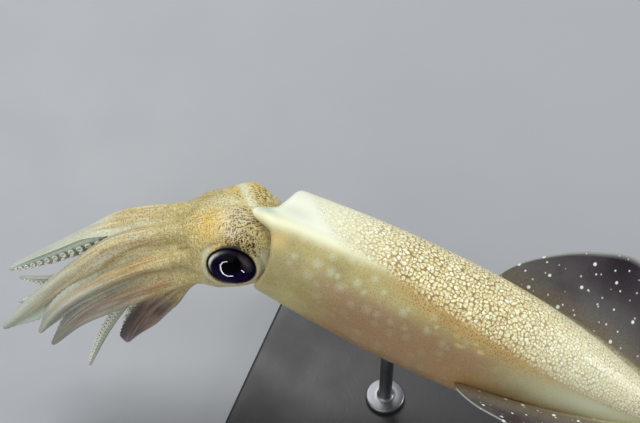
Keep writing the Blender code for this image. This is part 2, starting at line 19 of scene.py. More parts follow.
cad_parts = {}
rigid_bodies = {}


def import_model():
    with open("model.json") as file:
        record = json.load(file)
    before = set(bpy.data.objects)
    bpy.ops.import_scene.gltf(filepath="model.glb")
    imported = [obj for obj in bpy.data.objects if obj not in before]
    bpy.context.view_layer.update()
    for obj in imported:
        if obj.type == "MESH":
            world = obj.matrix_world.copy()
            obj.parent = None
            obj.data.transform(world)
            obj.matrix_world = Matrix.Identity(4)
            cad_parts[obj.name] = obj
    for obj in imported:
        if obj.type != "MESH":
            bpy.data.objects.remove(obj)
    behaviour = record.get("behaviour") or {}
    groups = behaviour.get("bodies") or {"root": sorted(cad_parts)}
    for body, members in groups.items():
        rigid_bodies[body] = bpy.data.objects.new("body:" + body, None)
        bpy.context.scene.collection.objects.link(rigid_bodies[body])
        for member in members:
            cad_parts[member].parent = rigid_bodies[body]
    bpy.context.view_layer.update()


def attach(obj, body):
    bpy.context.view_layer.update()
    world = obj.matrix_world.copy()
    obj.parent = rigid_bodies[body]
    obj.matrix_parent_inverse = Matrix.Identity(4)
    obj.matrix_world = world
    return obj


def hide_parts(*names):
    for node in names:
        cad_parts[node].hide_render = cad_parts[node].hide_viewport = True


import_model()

# %% [markdown]
# The squid is laid out in its own frame, in millimetres: x runs back to the tail, y to its right and z to
# its back, from the middle of the mantle's open rim. One turn and one shift then bring every point into the
# frame that the solids share. The object itself stays at the origin, so that its place is in its mesh.

# %% The squid's own frame, and how a piece is made
MM = 0.001
PITCH = 14
TO_STAND = np.array([-0.052, 0.0, 0.078])
TIPPED = np.array(Matrix.Rotation(math.radians(PITCH), 3, "Y"))
print("the squid is tipped nose up by", PITCH, "degrees")


def to_world(points):
    """Points in millimetres in the squid's frame, turned nose up and lifted over the stand, in metres."""
    return np.asarray(points, float) @ TIPPED.T * MM + TO_STAND


def smooth(x):
    """0 to 1 with level ends: 3 x squared minus 2 x cubed, held outside."""
    x = np.clip(x, 0.0, 1.0)
    return x * x * (3 - 2 * x)


def bell(value, middle, width):
    """1 at the middle, falling off as the exponential of minus the square of the distance in widths."""
    return np.exp(-(((value - middle) / width) ** 2))


def unit(rows):
    """Each row divided by its own length."""
    return rows / np.linalg.norm(rows, axis=-1, keepdims=True)


def half_turned(angle):
    """The same angle between minus and plus half a turn."""
    return (angle + math.pi) % (2 * math.pi) - math.pi


def full_turn(count):
    """Equal steps once round."""
    return np.linspace(0, 2 * math.pi, count, endpoint=False)


def wall(index):
    """Quads between neighbouring rows and columns of a grid of point numbers, closed round each row."""
    here, ahead = index[:-1], index[1:]
    return np.stack([here, np.roll(here, -1, 1), np.roll(ahead, -1, 1), ahead], -1).reshape(-1, 4).tolist()


def fan(ring, pole):
    """Triangles from each step of a ring to one point."""
    return np.stack([ring, np.roll(ring, -1), np.full(len(ring), pole)], -1).tolist()


def closed_tube(rings, start=None, end=None):
    """Points and faces of a row of rings, with a pole at each end: the ring's middle where none is given."""
    index = np.arange(rings[..., 0].size).reshape(len(rings), -1)
    poles = [rings[0].mean(0) if start is None else start, rings[-1].mean(0) if end is None else end]
    faces = wall(index) + fan(index[0], index.size) + fan(index[-1], index.size + 1)
    return np.concatenate([rings.reshape(-1, 3), poles]), faces


def swept(point, depth, side, outward, sideways):
    """Rings along a path: each section's depth and side laid off from its point."""
    return point[:, None] + depth[..., None] * outward[:, None] + side[..., None] * sideways[:, None]


def add_piece(name, points, faces, finish, slot, world=False, **layers):
    """A mesh, smooth and with its faces outwards. Each layer holds one value or vector a point."""
    used, renumbered = np.unique(np.concatenate([np.ravel(face) for face in faces]), return_inverse=True)
    ends = np.cumsum([0] + [len(face) for face in faces])
    faces = [renumbered[a:b].tolist() for a, b in zip(ends[:-1], ends[1:])]
    place = np.asarray(points, float)[used]
    mesh = bpy.data.meshes.new(name)
    mesh.from_pydata((place if world else to_world(place)).tolist(), [], faces)
    built = bmesh.new()
    built.from_mesh(mesh)
    bmesh.ops.recalc_face_normals(built, faces=built.faces)
    built.to_mesh(mesh)
    built.free()
    kept = {key: np.asarray(values, float)[used] for key, values in layers.items()}
    for key, values in {"place": place, **kept}.items():
        kind, field = ("FLOAT_VECTOR", "vector") if values.ndim == 2 else ("FLOAT", "value")
        mesh.attributes.new(key, kind, "POINT").data.foreach_set(field, values.astype(np.float32).ravel())
    mesh.shade_smooth()
    mesh.materials.append(finish)
    piece = bpy.data.objects.new(name, mesh)
    bpy.context.scene.collection.objects.link(piece)
    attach(piece, "root")
    print(name, len(mesh.vertices), "points", sum(len(face) - 2 for face in faces), "triangles")
    return piece


# %% [markdown]
# ## Colours and the way nodes are joined
# The skin of a squid is clear jelly over white and silvery layers, with thousands of tiny elastic colour
# sacs in it. So each finish starts from a pale ground, lays soft tints over the places where they belong, and
# then scatters dots and pale cells over it. The tints are values on the points, worked out from where each
# point lies on the body. The dots are node groups, shared by every skin.

# %% Short calls for shader nodes
def paint(red, green, blue):
    """A screen colour of 0 to 255 as linear light: each share to the power 2.2."""
    return tuple((value / 255) ** 2.2 for value in (red, green, blue)) + (1.0,)


class Wiring:
    """Adds nodes to one tree. A socket is linked, a list is multiplied up, and a colour is three numbers."""

    def __init__(self, tree, skin=None):
        self.tree, self.skin = tree, skin

    def feed(self, socket, value):
        if isinstance(value, list):
            first, *others = value
            for other in others:
                first = self.calc("MULTIPLY", first, other)
            value = first
        if isinstance(value, bpy.types.NodeSocket):
            self.tree.links.new(value, socket)
        else:
            socket.default_value = paint(*value) if socket.type == "RGBA" else value

    def add(self, kind, settings=(), **values):
        node = self.tree.nodes.new("ShaderNode" + kind)
        for key, value in dict(settings).items():
            setattr(node, key, value)
        for key, value in values.items():
            self.feed(node.inputs[key.replace("_", " ")], value)
        return node

    def fill(self, node, places, values, result):
        """Feeds the inputs at some places of a node, and gives its result."""
        for place, value in zip(places, values):
            self.feed(node.inputs[place], value)
        return node.outputs[result]

    def calc(self, operation, *values):
        return self.fill(self.add("Math", {"operation": operation}), (0, 1), values, 0)

    def ease(self, value, low, high, start=0.0, end=1.0):
        node = self.add("MapRange", {"interpolation_type": "SMOOTHSTEP"}, Value=value)
        ends = ("From Min", "From Max", "To Min", "To Max")
        return self.fill(node, ends, (low, high, start, end), "Result")

    def blend(self, share, first, second):
        return self.fill(self.add("Mix", {"data_type": "RGBA"}), (0, 6, 7), (share, first, second), 2)

    def coats(self, ground, *rows):
        """Lays the colour of each row over what is there, by the row's share."""
        for share, colour in rows:
            ground = self.blend(share, ground, colour)
        return ground

    def choose(self, share, first, second):
        wanted = self.calc("GREATER_THAN", share, 0.5)
        return self.fill(self.add("Mix", {"data_type": "VECTOR"}), (0, 4, 5), (wanted, first, second), 1)

    def layer(self, name, output="Vector"):
        return self.add("Attribute", {"attribute_name": name}).outputs[output]

    def parts(self, name):
        return self.add("SeparateXYZ", Vector=self.layer(name)).outputs

    def scaled(self, vector, *scale):
        return self.fill(self.add("VectorMath", {"operation": "MULTIPLY"}), (0, 1), (vector, scale), 0)

    def noise(self, vector, scale, detail=3.0):
        return self.add("TexNoise", Vector=vector, Scale=scale, Detail=detail).outputs["Fac"]

    def use(self, group, **values):
        return self.add("Group", {"node_tree": group}, **values).outputs

    def wear(self, relief=None, distance=0.0, strength=0.6, **values):
        """Feeds the finish's own sockets, and a relief as its bumps."""
        for key, value in values.items():
            self.feed(self.skin[key.replace("_", " ")], value)
        if relief is not None:
            bump = self.add("Bump", Height=relief, Distance=distance, Strength=strength)
            self.feed(self.skin["Normal"], bump.outputs["Normal"])


def make_group(name, inputs, *outputs):
    """A node group with its named sockets, and the wiring inside it. The first input is a vector."""
    tree = bpy.data.node_groups.new(name, "ShaderNodeTree")
    tree.interface.new_socket("Vector", in_out="INPUT", socket_type="NodeSocketVector")
    for key, value in inputs.items():
        tree.interface.new_socket(key, in_out="INPUT", socket_type="NodeSocketFloat").default_value = value
    for key in outputs:
        tree.interface.new_socket(key, in_out="OUTPUT", socket_type="NodeSocketFloat")
    start, end = tree.nodes.new("NodeGroupInput"), tree.nodes.new("NodeGroupOutput")
    return tree, Wiring(tree), start.outputs, end.inputs


def make_finish(name, **constants):
    """A new material and its wiring, with the fixed values of its Principled shader set."""
    made = bpy.data.materials.new(name)
    made.use_nodes = True
    shader = made.node_tree.nodes["Principled BSDF"]
    for key, value in constants.items():
        shader.inputs[key.replace("_", " ")].default_value = value
    return made, Wiring(made.node_tree, shader.inputs)


# %% [markdown]
# ### Three groups for skin
# Colour sacs are dots of uneven size. Pale cells are the rounded light fields on the back with a brown net
# between them. Round patches are the few large light spots. Each is a Voronoi texture on a flat map of the
# skin, in millimetres: it sets one point in each square of the map at random and gives the distance to the
# nearest one. The map's first number runs along the body and its second round it.

# %% Colour sacs, pale cells and round patches
FLAT = {"voronoi_dimensions": "2D"}
SACS, wire, given, out = make_group("colour_sacs", {"Scale": 1.7, "Size": 0.3, "Crowding": 1.0}, "Mask")
cell = wire.add("TexVoronoi", FLAT, Vector=given["Vector"], Scale=given["Scale"])
chance = wire.add("SeparateColor", Color=cell.outputs["Color"]).outputs
size = wire.calc("MULTIPLY", given["Size"], wire.ease(chance[0], 0.0, 1.0, 0.6, 1.2))
dot = wire.ease(cell.outputs["Distance"], [size, 0.55], size, 1.0, 0.0)
wire.feed(out["Mask"], [dot, wire.calc("LESS_THAN", chance[1], given["Crowding"])])

CELLS, wire, given, out = make_group("pale_cells", {"Scale": 0.62, "Line": 0.14}, "Mask", "Knots", "Chance")
warp = wire.add("TexNoise", {"noise_dimensions": "2D"}, Vector=given["Vector"], Scale=0.45, Detail=1.0)
shift = wire.add("VectorMath", {"operation": "SCALE"}, Vector=warp.outputs["Color"], Scale=0.8)
adding = wire.add("VectorMath", {"operation": "ADD"})
look = {
    "Vector": wire.fill(adding, (0, 1), (given["Vector"], shift.outputs[0]), 0), "Scale": given["Scale"],
    "Randomness": 0.85,
}
to_edge = wire.add("TexVoronoi", {**FLAT, "feature": "DISTANCE_TO_EDGE"}, **look).outputs["Distance"]
nearest = wire.add("TexVoronoi", {**FLAT, "feature": "F1"}, **look).outputs
uneven = wire.add("TexNoise", {"noise_dimensions": "2D"}, Vector=given["Vector"], Scale=1.6, Detail=2.0)
line = wire.calc("MULTIPLY", given["Line"], wire.ease(uneven.outputs["Fac"], 0.3, 0.7, 0.25, 1.9))
inside = wire.ease(to_edge, [line, 0.1], line)
wire.feed(out["Mask"], [inside, wire.ease(nearest["Distance"], 0.44, 0.72, 1.0, 0.0)])
wire.feed(out["Knots"], wire.ease(nearest["Distance"], 0.5, 0.68))
wire.feed(out["Chance"], wire.add("SeparateColor", Color=nearest["Color"]).outputs[0])

PATCHES, wire, given, out = make_group(
    "round_patches", {"Scale": 0.2, "Size": 0.25, "Share": 0.5, "Softness": 0.5}, "Mask"
)
cell = wire.add("TexVoronoi", FLAT, Vector=given["Vector"], Scale=given["Scale"])
chance = wire.add("SeparateColor", Color=cell.outputs["Color"]).outputs
size = wire.calc("MULTIPLY", given["Size"], wire.ease(chance[0], 0.0, 1.0, 0.55, 1.15))
inner = wire.calc("MULTIPLY", size, wire.calc("SUBTRACT", 1.0, given["Softness"]))
dot = wire.ease(cell.outputs["Distance"], inner, size, 1.0, 0.0)
wire.feed(out["Mask"], [dot, wire.calc("LESS_THAN", chance[1], given["Share"])])
print("groups:", [group.name for group in bpy.data.node_groups])

# %% [markdown]
# ### The mantle and fins
# The back carries a band of cream cells rimmed with brown dots, and a painted highlight along its midline
# near the front. The flank is smooth olive tan with faint green spots, rosy lower down and amber along its
# lower edge, and the skin near the tail is paler, with a painted sheen over it.
# The fins are dark and clear, with round white spots and a silver edge.

# %% The mantle's finish
WET_SKIN = {
    "Subsurface_Radius": (1.0, 0.6, 0.35), "Subsurface_Scale": 0.0012, "Coat_Roughness": 0.14,
    "Coat_IOR": 1.34, "IOR": 1.38,
}
MANTLE_FINISH, wire = make_finish("mantle_finish", Subsurface_Weight=0.1, **WET_SKIN)
place, about = wire.layer("place"), wire.layer("about")
band, midline_highlight, rosy = wire.parts("tint_back")
amber, sheen, belly = wire.parts("tint_flank")
fin, fin_edge, inner = wire.parts("tint_fin")
white, grey, fringe = wire.parts("tint_front")
spotted, ovals, faded = wire.parts("tint_marks")
cloud, fine, grain = wire.noise(place, 0.09, 4.0), wire.noise(place, 1.3), wire.noise(place, 2.4, 4.0)
past = wire.calc("SUBTRACT", 1.0, band)
line = wire.calc("ADD", 0.3, [past, 0.45])
cells, knots, chance = wire.use(CELLS, Vector=about, Scale=0.8, Line=line)
large = wire.use(PATCHES, Vector=about, Scale=0.4, Size=0.34, Share=0.4, Softness=0.6)[0]
sacs = wire.use(SACS, Vector=about, Scale=2.1, Size=0.5)[0]
specks = wire.use(SACS, Vector=about, Scale=1.5, Size=0.28, Crowding=0.85)[0]
spots = wire.use(PATCHES, Vector=about, Scale=0.22, Size=0.44, Share=0.8, Softness=0.95)[0]
stretched = wire.scaled(about, 0.5, 1, 1)
oblong = wire.use(PATCHES, Vector=stretched, Scale=0.3, Size=0.26, Share=0.8, Softness=0.6)[0]

flank = wire.coats(
    wire.blend(wire.ease(cloud, 0.35, 0.65), (182, 171, 116), (162, 151, 100)),
    (wire.ease(grain, 0.35, 0.7, 0.0, 0.3), (140, 124, 78)),
    (rosy, wire.blend(grain, (158, 126, 92), (138, 106, 76))),
    ([spots, spotted], (194, 204, 168)),
    ([amber, 0.8], (156, 124, 80)),
    ([oblong, ovals], (204, 186, 114)),
    ([fringe, 0.5], (190, 148, 84)),
    ([specks, wire.ease(fringe, 0.0, 1.0, 0.4, 0.9)], (116, 80, 40)),
    # painted sheen near the tail, where the skin is paler and has few colour sacs
    (sheen, wire.blend(grain, (236, 240, 206), (214, 220, 180))),
    ([belly, 0.85], (206, 200, 172)),
    ([specks, belly, 0.3], (150, 96, 66)),
    (wire.layer("warm", "Fac"), wire.blend(grain, (226, 196, 126), (206, 170, 96))),
    # painted highlight along the midline of the back, near the front
    (midline_highlight, (232, 234, 196)),
    (white, (228, 232, 212)),
    (grey, (150, 162, 138)),
    ([sacs, band, past, faded, 3.6], (150, 128, 84)),
)
net = wire.coats(
    wire.blend(wire.ease(cloud, 0.4, 0.62), (210, 190, 134), (192, 170, 116)),
    ([fringe, 0.55], (186, 148, 84)),
    (wire.calc("MAXIMUM", [knots, 0.55], [sacs, 0.75]), (100, 76, 44)),
)
pale = wire.coats(
    wire.blend(chance, (244, 244, 206), (216, 210, 160)),
    (wire.calc("GREATER_THAN", chance, 0.93), (244, 248, 224)),
    ([fringe, 0.45], (206, 184, 122)),
)
back = wire.coats(
    net,
    (cells, pale),
    ([large, wire.ease(fringe, 0.1, 0.8, 0.75, 0.1)], (240, 240, 206)),
    ([specks, 0.3], (120, 90, 50)),
    (faded, (228, 232, 202)),
)
loose = wire.calc("SUBTRACT", wire.noise(wire.scaled(about, 1.0, 1.0, 0.0), 0.5), 0.5)
ragged = wire.ease(wire.calc("ADD", band, [loose, 0.7]), 0.05, 0.45)

white_dots = wire.use(PATCHES, Vector=about, Scale=0.19, Size=0.13, Share=0.75, Softness=0.5)[0]
small_dots = wire.use(PATCHES, Vector=about, Scale=0.3, Size=0.12, Share=0.35, Softness=0.5)[0]
membrane = wire.coats(
    wire.blend(wire.ease(cloud, 0.35, 0.65), (58, 54, 60), (82, 82, 82)),
    (wire.ease(fin, 0.25, 0.75), (30, 28, 42)),
    ([wire.ease(fin, 0.02, 0.34, 1.0, 0.0), 0.8], wire.blend(fine, (140, 134, 112), (112, 100, 82))),
    ([sacs, 0.4], (76, 50, 36)),
    ([fin_edge, 0.75], (170, 174, 168)),
    (wire.calc("MAXIMUM", white_dots, [small_dots, 0.6]), (226, 232, 226)),
)
wire.wear(
    Base_Color=wire.coats(
        flank, (ragged, back), (wire.ease(fin, 0.0, 0.1), membrane), (inner, (212, 196, 170))
    ),
    Roughness=wire.ease(fine, 0.3, 0.7, 0.34, 0.5),
    Coat_Weight=[wire.ease(cloud, 0.3, 0.7, 0.2, 0.4), wire.ease(fin, 0.1, 0.6, 1.0, 0.3)],
    relief=wire.calc("ADD", [cells, band, 0.2], grain), distance=0.0001,
)
print("mantle finish:", len(MANTLE_FINISH.node_tree.nodes), "nodes")

# %% [markdown]
# ### The head and arms
# Golden over the brow, with brown dots that turn nearly black behind each eye, and paler below. Along the
# arms the colour thins out: bands of amber on some, white and bluish parts on others, clear grey at the tips.
# Painted highlights lie over them: pale streaks along the arms, lines along the edges of the membranes, and a
# band along the upper edge of the first right arm.
# Round the eyes the dots lie on a map of their own, so that the lids don't draw them out.

# %% The head's and arms' finish
HEAD_FINISH, wire = make_finish("head_finish", Subsurface_Weight=0.12, **WET_SKIN)
place, about = wire.layer("place"), wire.layer("about")
share = wire.parts("about")[2]
flat = wire.choose(wire.parts("by_eye")[2], about, wire.layer("by_eye"))
golden, dotted, silver = wire.parts("tint_brow")
dark_lid, pale_lid, black = wire.parts("tint_lid")
amber, blue, dusk = wire.parts("tint_arm")
cloud, fine, grain = wire.noise(place, 0.12, 4.0), wire.noise(place, 1.5), wire.noise(place, 2.4, 4.0)
streak = wire.noise(wire.scaled(about, 0.09, 1.7, 1.0), 1.0, 4.0)
cells, _, chance = wire.use(CELLS, Vector=flat, Scale=0.95, Line=0.2)
specks = wire.use(SACS, Vector=flat, Scale=1.45, Size=0.3, Crowding=0.9)[0]
dots = wire.use(SACS, Vector=flat, Scale=1.55, Size=0.38)[0]
blots = wire.use(SACS, Vector=flat, Scale=0.82, Size=0.36)[0]
patches = wire.use(PATCHES, Vector=flat, Scale=0.3, Size=0.3, Share=0.6, Softness=0.6)[0]
light = wire.calc("MULTIPLY", [cells, chance], wire.ease(dotted, 0.0, 1.0, 0.6, 0.25))

brow = wire.coats(
    wire.blend(wire.ease(cloud, 0.35, 0.65), (190, 175, 114), (170, 155, 100)),
    (wire.ease(grain, 0.35, 0.7, 0.0, 0.3), (140, 120, 72)),
    ([golden, 0.85], wire.blend(grain, (226, 192, 100), (206, 168, 76))),
    ([silver, 0.85], (206, 208, 176)),
    (light, (222, 214, 164)),
    ([patches, 0.25], (214, 216, 176)),
    ([specks, 0.6], (122, 90, 44)),
    ([specks, dotted], (96, 68, 34)),
    ([dots, dotted], (84, 58, 26)),
    ([blots, black], (28, 16, 16)),
    (pale_lid, (196, 196, 166)),
    (dark_lid, (14, 8, 14)),
)
# painted shine: pale bluish streaks along the arms that stand for highlights
shine = wire.ease(wire.noise(wire.scaled(about, 0.045, 0.75, 1.0), 1.0, 2.0), 0.52, 0.66)
arm = wire.coats(
    wire.blend(wire.ease(streak, 0.35, 0.65), (202, 188, 136), (170, 152, 100)),
    ([light, 0.7], (226, 220, 176)),
    ([shine, wire.ease(share, 0.05, 0.3, 0.0, 0.6)], (212, 218, 196)),
    (wire.ease(share, 0.35, 0.95, 0.0, 0.85), wire.blend(streak, (176, 184, 166), (140, 142, 122))),
    ([amber, wire.ease(streak, 0.3, 0.6, 0.4, 0.85)], (160, 116, 64)),
    ([dusk, 0.94], wire.blend(wire.ease(streak, 0.35, 0.65), (132, 108, 98), (66, 50, 52))),
    ([specks, wire.ease(share, 0.1, 0.9, 0.6, 0.3)], (108, 70, 38)),
    # white and blue, with painted highlights on the membranes' edges and on the upper edge of right 1
    (blue, (190, 210, 206)),
)
wire.wear(
    Base_Color=wire.blend(wire.ease(share, 0.0, 0.14), brow, arm),
    Roughness=wire.ease(fine, 0.3, 0.7, 0.32, 0.5),
    Coat_Weight=wire.ease(cloud, 0.3, 0.7, 0.2, 0.45),
    relief=wire.calc("ADD", [cells, 0.5], wire.calc("ADD", fine, streak)), distance=0.00014,
)
print("head finish:", len(HEAD_FINISH.node_tree.nodes), "nodes")

# %% [markdown]
# ### Suckers, eyes, funnel and mouth
# Suckers are whitish and half clear, with a horny amber ring. The eye is nearly black with a bluish cast, and
# has a silver crescent and a brown one. The coat on it stands for the clear wet skin in front.

# %% The soft finishes
def soft_finish(name, tone, roughness, weight, scatter, scale, coat):
    """A soft wet tissue whose tone is worked out from the place, and its roughness from a noise on it."""
    finish, wire = make_finish(
        name, Subsurface_Weight=weight, Subsurface_Radius=scatter, Subsurface_Scale=scale, Coat_Weight=coat,
        Coat_Roughness=0.15,
    )
    place = wire.layer("place")
    coarseness, low, high = roughness
    wire.wear(
        Base_Color=tone(wire, place), Roughness=wire.ease(wire.noise(place, coarseness), 0.3, 0.7, low, high)
    )
    return finish


def sucker_tone(wire, place):
    """Near white, with the horny ring from three quarters of the cup's profile on."""
    ring = wire.layer("ring", "Fac")
    return wire.coats(
        wire.blend(wire.noise(place, 0.8), (248, 250, 238), (228, 228, 208)),
        ([wire.ease(ring, 0.74, 0.82), 0.5], (216, 200, 164)),
        (wire.ease(ring, 0.9, 1.0), (186, 172, 150)),
    )


def funnel_tone(wire, place):
    """Pale flesh with a few brown sacs."""
    sacs = wire.use(SACS, Vector=place, Scale=1.1, Size=0.3, Crowding=0.6)[0]
    ground = wire.blend(wire.noise(place, 0.3), (212, 200, 172), (190, 172, 138))
    return wire.blend([sacs, 0.6], ground, (130, 82, 54))


def mouth_tone(wire, place):
    """Rosy flesh."""
    return wire.blend(wire.noise(place, 1.2), (206, 176, 150), (170, 126, 104))


PALE, ROSY = (1.0, 0.7, 0.5), (1.0, 0.5, 0.4)
SUCKER_FINISH = soft_finish(
    "sucker_finish", sucker_tone, (2.0, 0.28, 0.42), weight=0.2, scatter=PALE, scale=0.001, coat=0.3
)
FUNNEL_FINISH = soft_finish(
    "funnel_finish", funnel_tone, (1.4, 0.3, 0.45), weight=0.25, scatter=PALE, scale=0.002, coat=0.35
)
MOUTH_FINISH = soft_finish(
    "mouth_finish", mouth_tone, (2.4, 0.3, 0.5), weight=0.2, scatter=ROSY, scale=0.001, coat=0.3
)

EYE_FINISH, wire = make_finish(
    "eye_finish", Coat_Weight=0.07, Coat_Roughness=0.012, Coat_IOR=1.5, IOR=1.34, Specular_IOR_Level=0.0
)
silver, brown, pupil = wire.parts("iris")
streaks = wire.noise(wire.scaled(wire.layer("look"), 5.0, 5.0, 5.0), 1.0, 4.0)
wire.wear(
    Base_Color=wire.coats(
        wire.blend(wire.ease(streaks, 0.3, 0.7), (7, 4, 14), (14, 9, 24)),
        (brown, wire.blend(streaks, (34, 28, 32), (70, 66, 64))),
        (silver, wire.blend(streaks, (92, 92, 88), (164, 166, 156))),
        (pupil, (4, 3, 7)),
        (wire.layer("rim", "Fac"), (8, 5, 10)),
    ),
    Roughness=wire.ease(streaks, 0.3, 0.7, 0.25, 0.4),
    Metallic=[silver, 0.3],
)

BEAK_FINISH, wire = make_finish("beak_finish", Coat_Weight=0.6, Coat_Roughness=0.1)
place = wire.layer("place")
wire.wear(
    Base_Color=wire.blend(wire.noise(place, 1.8), (30, 16, 10), (78, 44, 22)),
    Roughness=wire.ease(wire.noise(place, 3.0), 0.3, 0.7, 0.2, 0.4),
)
print("finishes of the animal:", len(bpy.data.materials))

# %% [markdown]
# ### The stand and the floor
# Satin black acrylic with a faint grain, and brushed steel whose fine scratches run round the rods.

# %% The stand's and the floor's finishes
PLATE_FINISH, wire = make_finish("plate_finish", IOR=1.49)
spot = wire.add("TexCoord").outputs["Object"]
cloud = wire.noise(spot, 40.0, 4.0)
wire.wear(
    Base_Color=wire.blend(cloud, (26, 26, 28), (40, 40, 42)),
    Roughness=wire.ease(cloud, 0.3, 0.7, 0.34, 0.5),
    relief=wire.noise(spot, 900.0, 2.0), distance=0.00004, strength=0.5,
)

STEEL_FINISH, wire = make_finish("steel_finish", Metallic=1.0)
rub = wire.noise(wire.scaled(wire.add("TexCoord").outputs["Object"], 60.0, 60.0, 6000.0), 1.0)
wire.wear(
    Base_Color=wire.blend(rub, (112, 114, 118), (140, 141, 144)),
    Roughness=wire.ease(rub, 0.3, 0.7, 0.32, 0.5),
    relief=rub, distance=0.00002, strength=0.4,
)

FLOOR_FINISH, wire = make_finish("floor_finish")
spot = wire.add("TexCoord").outputs["Object"]
wire.wear(
    Base_Color=wire.blend(wire.noise(spot, 6.0), (150, 154, 158), (158, 160, 162)),
    Roughness=wire.ease(wire.noise(spot, 30.0), 0.3, 0.7, 0.6, 0.75),
)
print("finishes:", len(bpy.data.materials))

# %% [markdown]
# ## The mantle and its fins
# The mantle is a muscular sack, open round the neck, and the two fins are folds of the same skin. So both
# are one surface: rings round the body, each of which runs out over the top of a fin and back underneath.
# Where there is no fin, those points of the ring lie on the body. A fin of its own, set against the body,
# would show a seam that the animal doesn't have.

# %% The mantle's profile and open rim
RIM_RADIUS, MANTLE_RADIUS, WIDEST_X, TAIL_X, TAIL_POWER = 15.2, 17.6, 42.0, 131.2, 1.33
LOBE_LENGTH, LOBE_DIP = 8.8, 2.6
CAVITY_X, COLLAR_X, RIM_EDGE, WALL_THICKNESS, LIP_TURN = 14.0, 24.0, 0.8, 2.2, 1.1


def mantle_radius(x):
    """A quarter sine out to the widest place, then the cosine of a power of the share run to the tail."""
    ahead = RIM_RADIUS - LOBE_DIP * np.clip(-x / LOBE_LENGTH, 0, 1) ** 1.6
    swell = RIM_RADIUS + (MANTLE_RADIUS - RIM_RADIUS) * np.sin(np.clip(x / WIDEST_X, 0, 1) * math.pi / 2)
    share = np.clip((x - WIDEST_X) / (TAIL_X - WIDEST_X), 0, 1)
    taper = MANTLE_RADIUS * np.cos(share**TAIL_POWER * math.pi / 2)
    return np.maximum(np.where(x < 0, ahead, np.where(x < WIDEST_X, swell, taper)), 0.9)


def mantle_point(x, angle, extra=0.0):
    """A circle of the profile's radius at x, hung a little low, at an angle from the back, left positive."""
    x, angle, extra = np.broadcast_arrays(x, angle, extra)
    radius = mantle_radius(x) + extra
    low = -0.4 * np.sin(np.clip(x / TAIL_X, 0, 1) * math.pi)
    return np.stack([x, -radius * np.sin(angle), low + radius * np.cos(angle)], -1)


# the rim's turn from the back, left positive, and how far behind the plain ring it lies: a tongue over the
# head that leans to the left, and two low points at the sides of the funnel
RIM = np.array([
    (-180, 2.0), (-160, 1.6), (-138, 0.4), (-111, 0.4), (-92, 0.9), (-70, 0.9), (-46, -0.1), (-31, -0.6),
    (-20, -1.3), (-13, -1.9), (-6.5, -2.5), (-3.5, -3.3), (-1.5, -4.3), (0, -5.8), (1.3, -7.0), (3.5, -8.2),
    (6.5, -8.6), (10, -8.6), (13.5, -8.2), (17.5, -7.1), (20.5, -5.5), (22.5, -3.9), (25, -2.1), (29, -1.2),
    (34, -0.6), (42, 0.2), (50, 0.9), (57, 1.2), (68, 1.5), (79, 1.4), (92, 0.9), (111, 0.2), (138, 0.4),
    (160, 1.6), (180, 2.0),
])
RIM_TURNS = np.arange(-184, 184.5, 0.5)
RIM_WEIGHTS = bell(np.arange(-6, 7), 0, 2.6)
RIM_ROWS = np.pad(np.interp(RIM_TURNS, *RIM.T), 6, "edge")
RIM_PLACES = np.convolve(RIM_ROWS, RIM_WEIGHTS / RIM_WEIGHTS.sum(), "valid")


def rim_x(angle):
    """The rim's place along the body at an angle: the table's rows joined, then averaged under a bell."""
    return np.interp(np.degrees(angle), RIM_TURNS, RIM_PLACES)


print("rim from", RIM_PLACES.min().round(1), "to", RIM_PLACES.max().round(1), "mm along the body")

# %% The fins' outline
FIN_FRONT_X, FIN_WIDEST_X, FIN_REAR_X, FIN_SPAN = 61.5, 97.5, 130.4, 30.0
FIN_LIFT, FIN_WAVE, FIN_RIPPLE, FIN_STEPS = math.radians(38), math.radians(9), math.radians(3), 30
FIN_EDGE_HALF, FILLET = 0.25, 0.35


def fin_span(x):
    """A power curve from the front and one from the rear, joined by a soft minimum in a rounded corner."""
    front = np.clip((x - FIN_FRONT_X) / (FIN_WIDEST_X - FIN_FRONT_X), 1e-4, None) ** 0.6
    rear = np.clip((FIN_REAR_X - x) / (FIN_REAR_X - FIN_WIDEST_X), 1e-4, None) ** 0.85
    return FIN_SPAN * (front**-6.0 + rear**-6.0) ** (-1 / 6)


print("fin span at its widest", round(float(fin_span(np.array(FIN_WIDEST_X - 3))), 1), "mm")

# %% One side of the skin, from the back to the belly
BACK_STEPS, BELLY_STEPS = 40, 36
FIN_COLUMNS = 2 * FIN_STEPS + 1
FLANK = slice(BACK_STEPS, BACK_STEPS + FIN_COLUMNS)


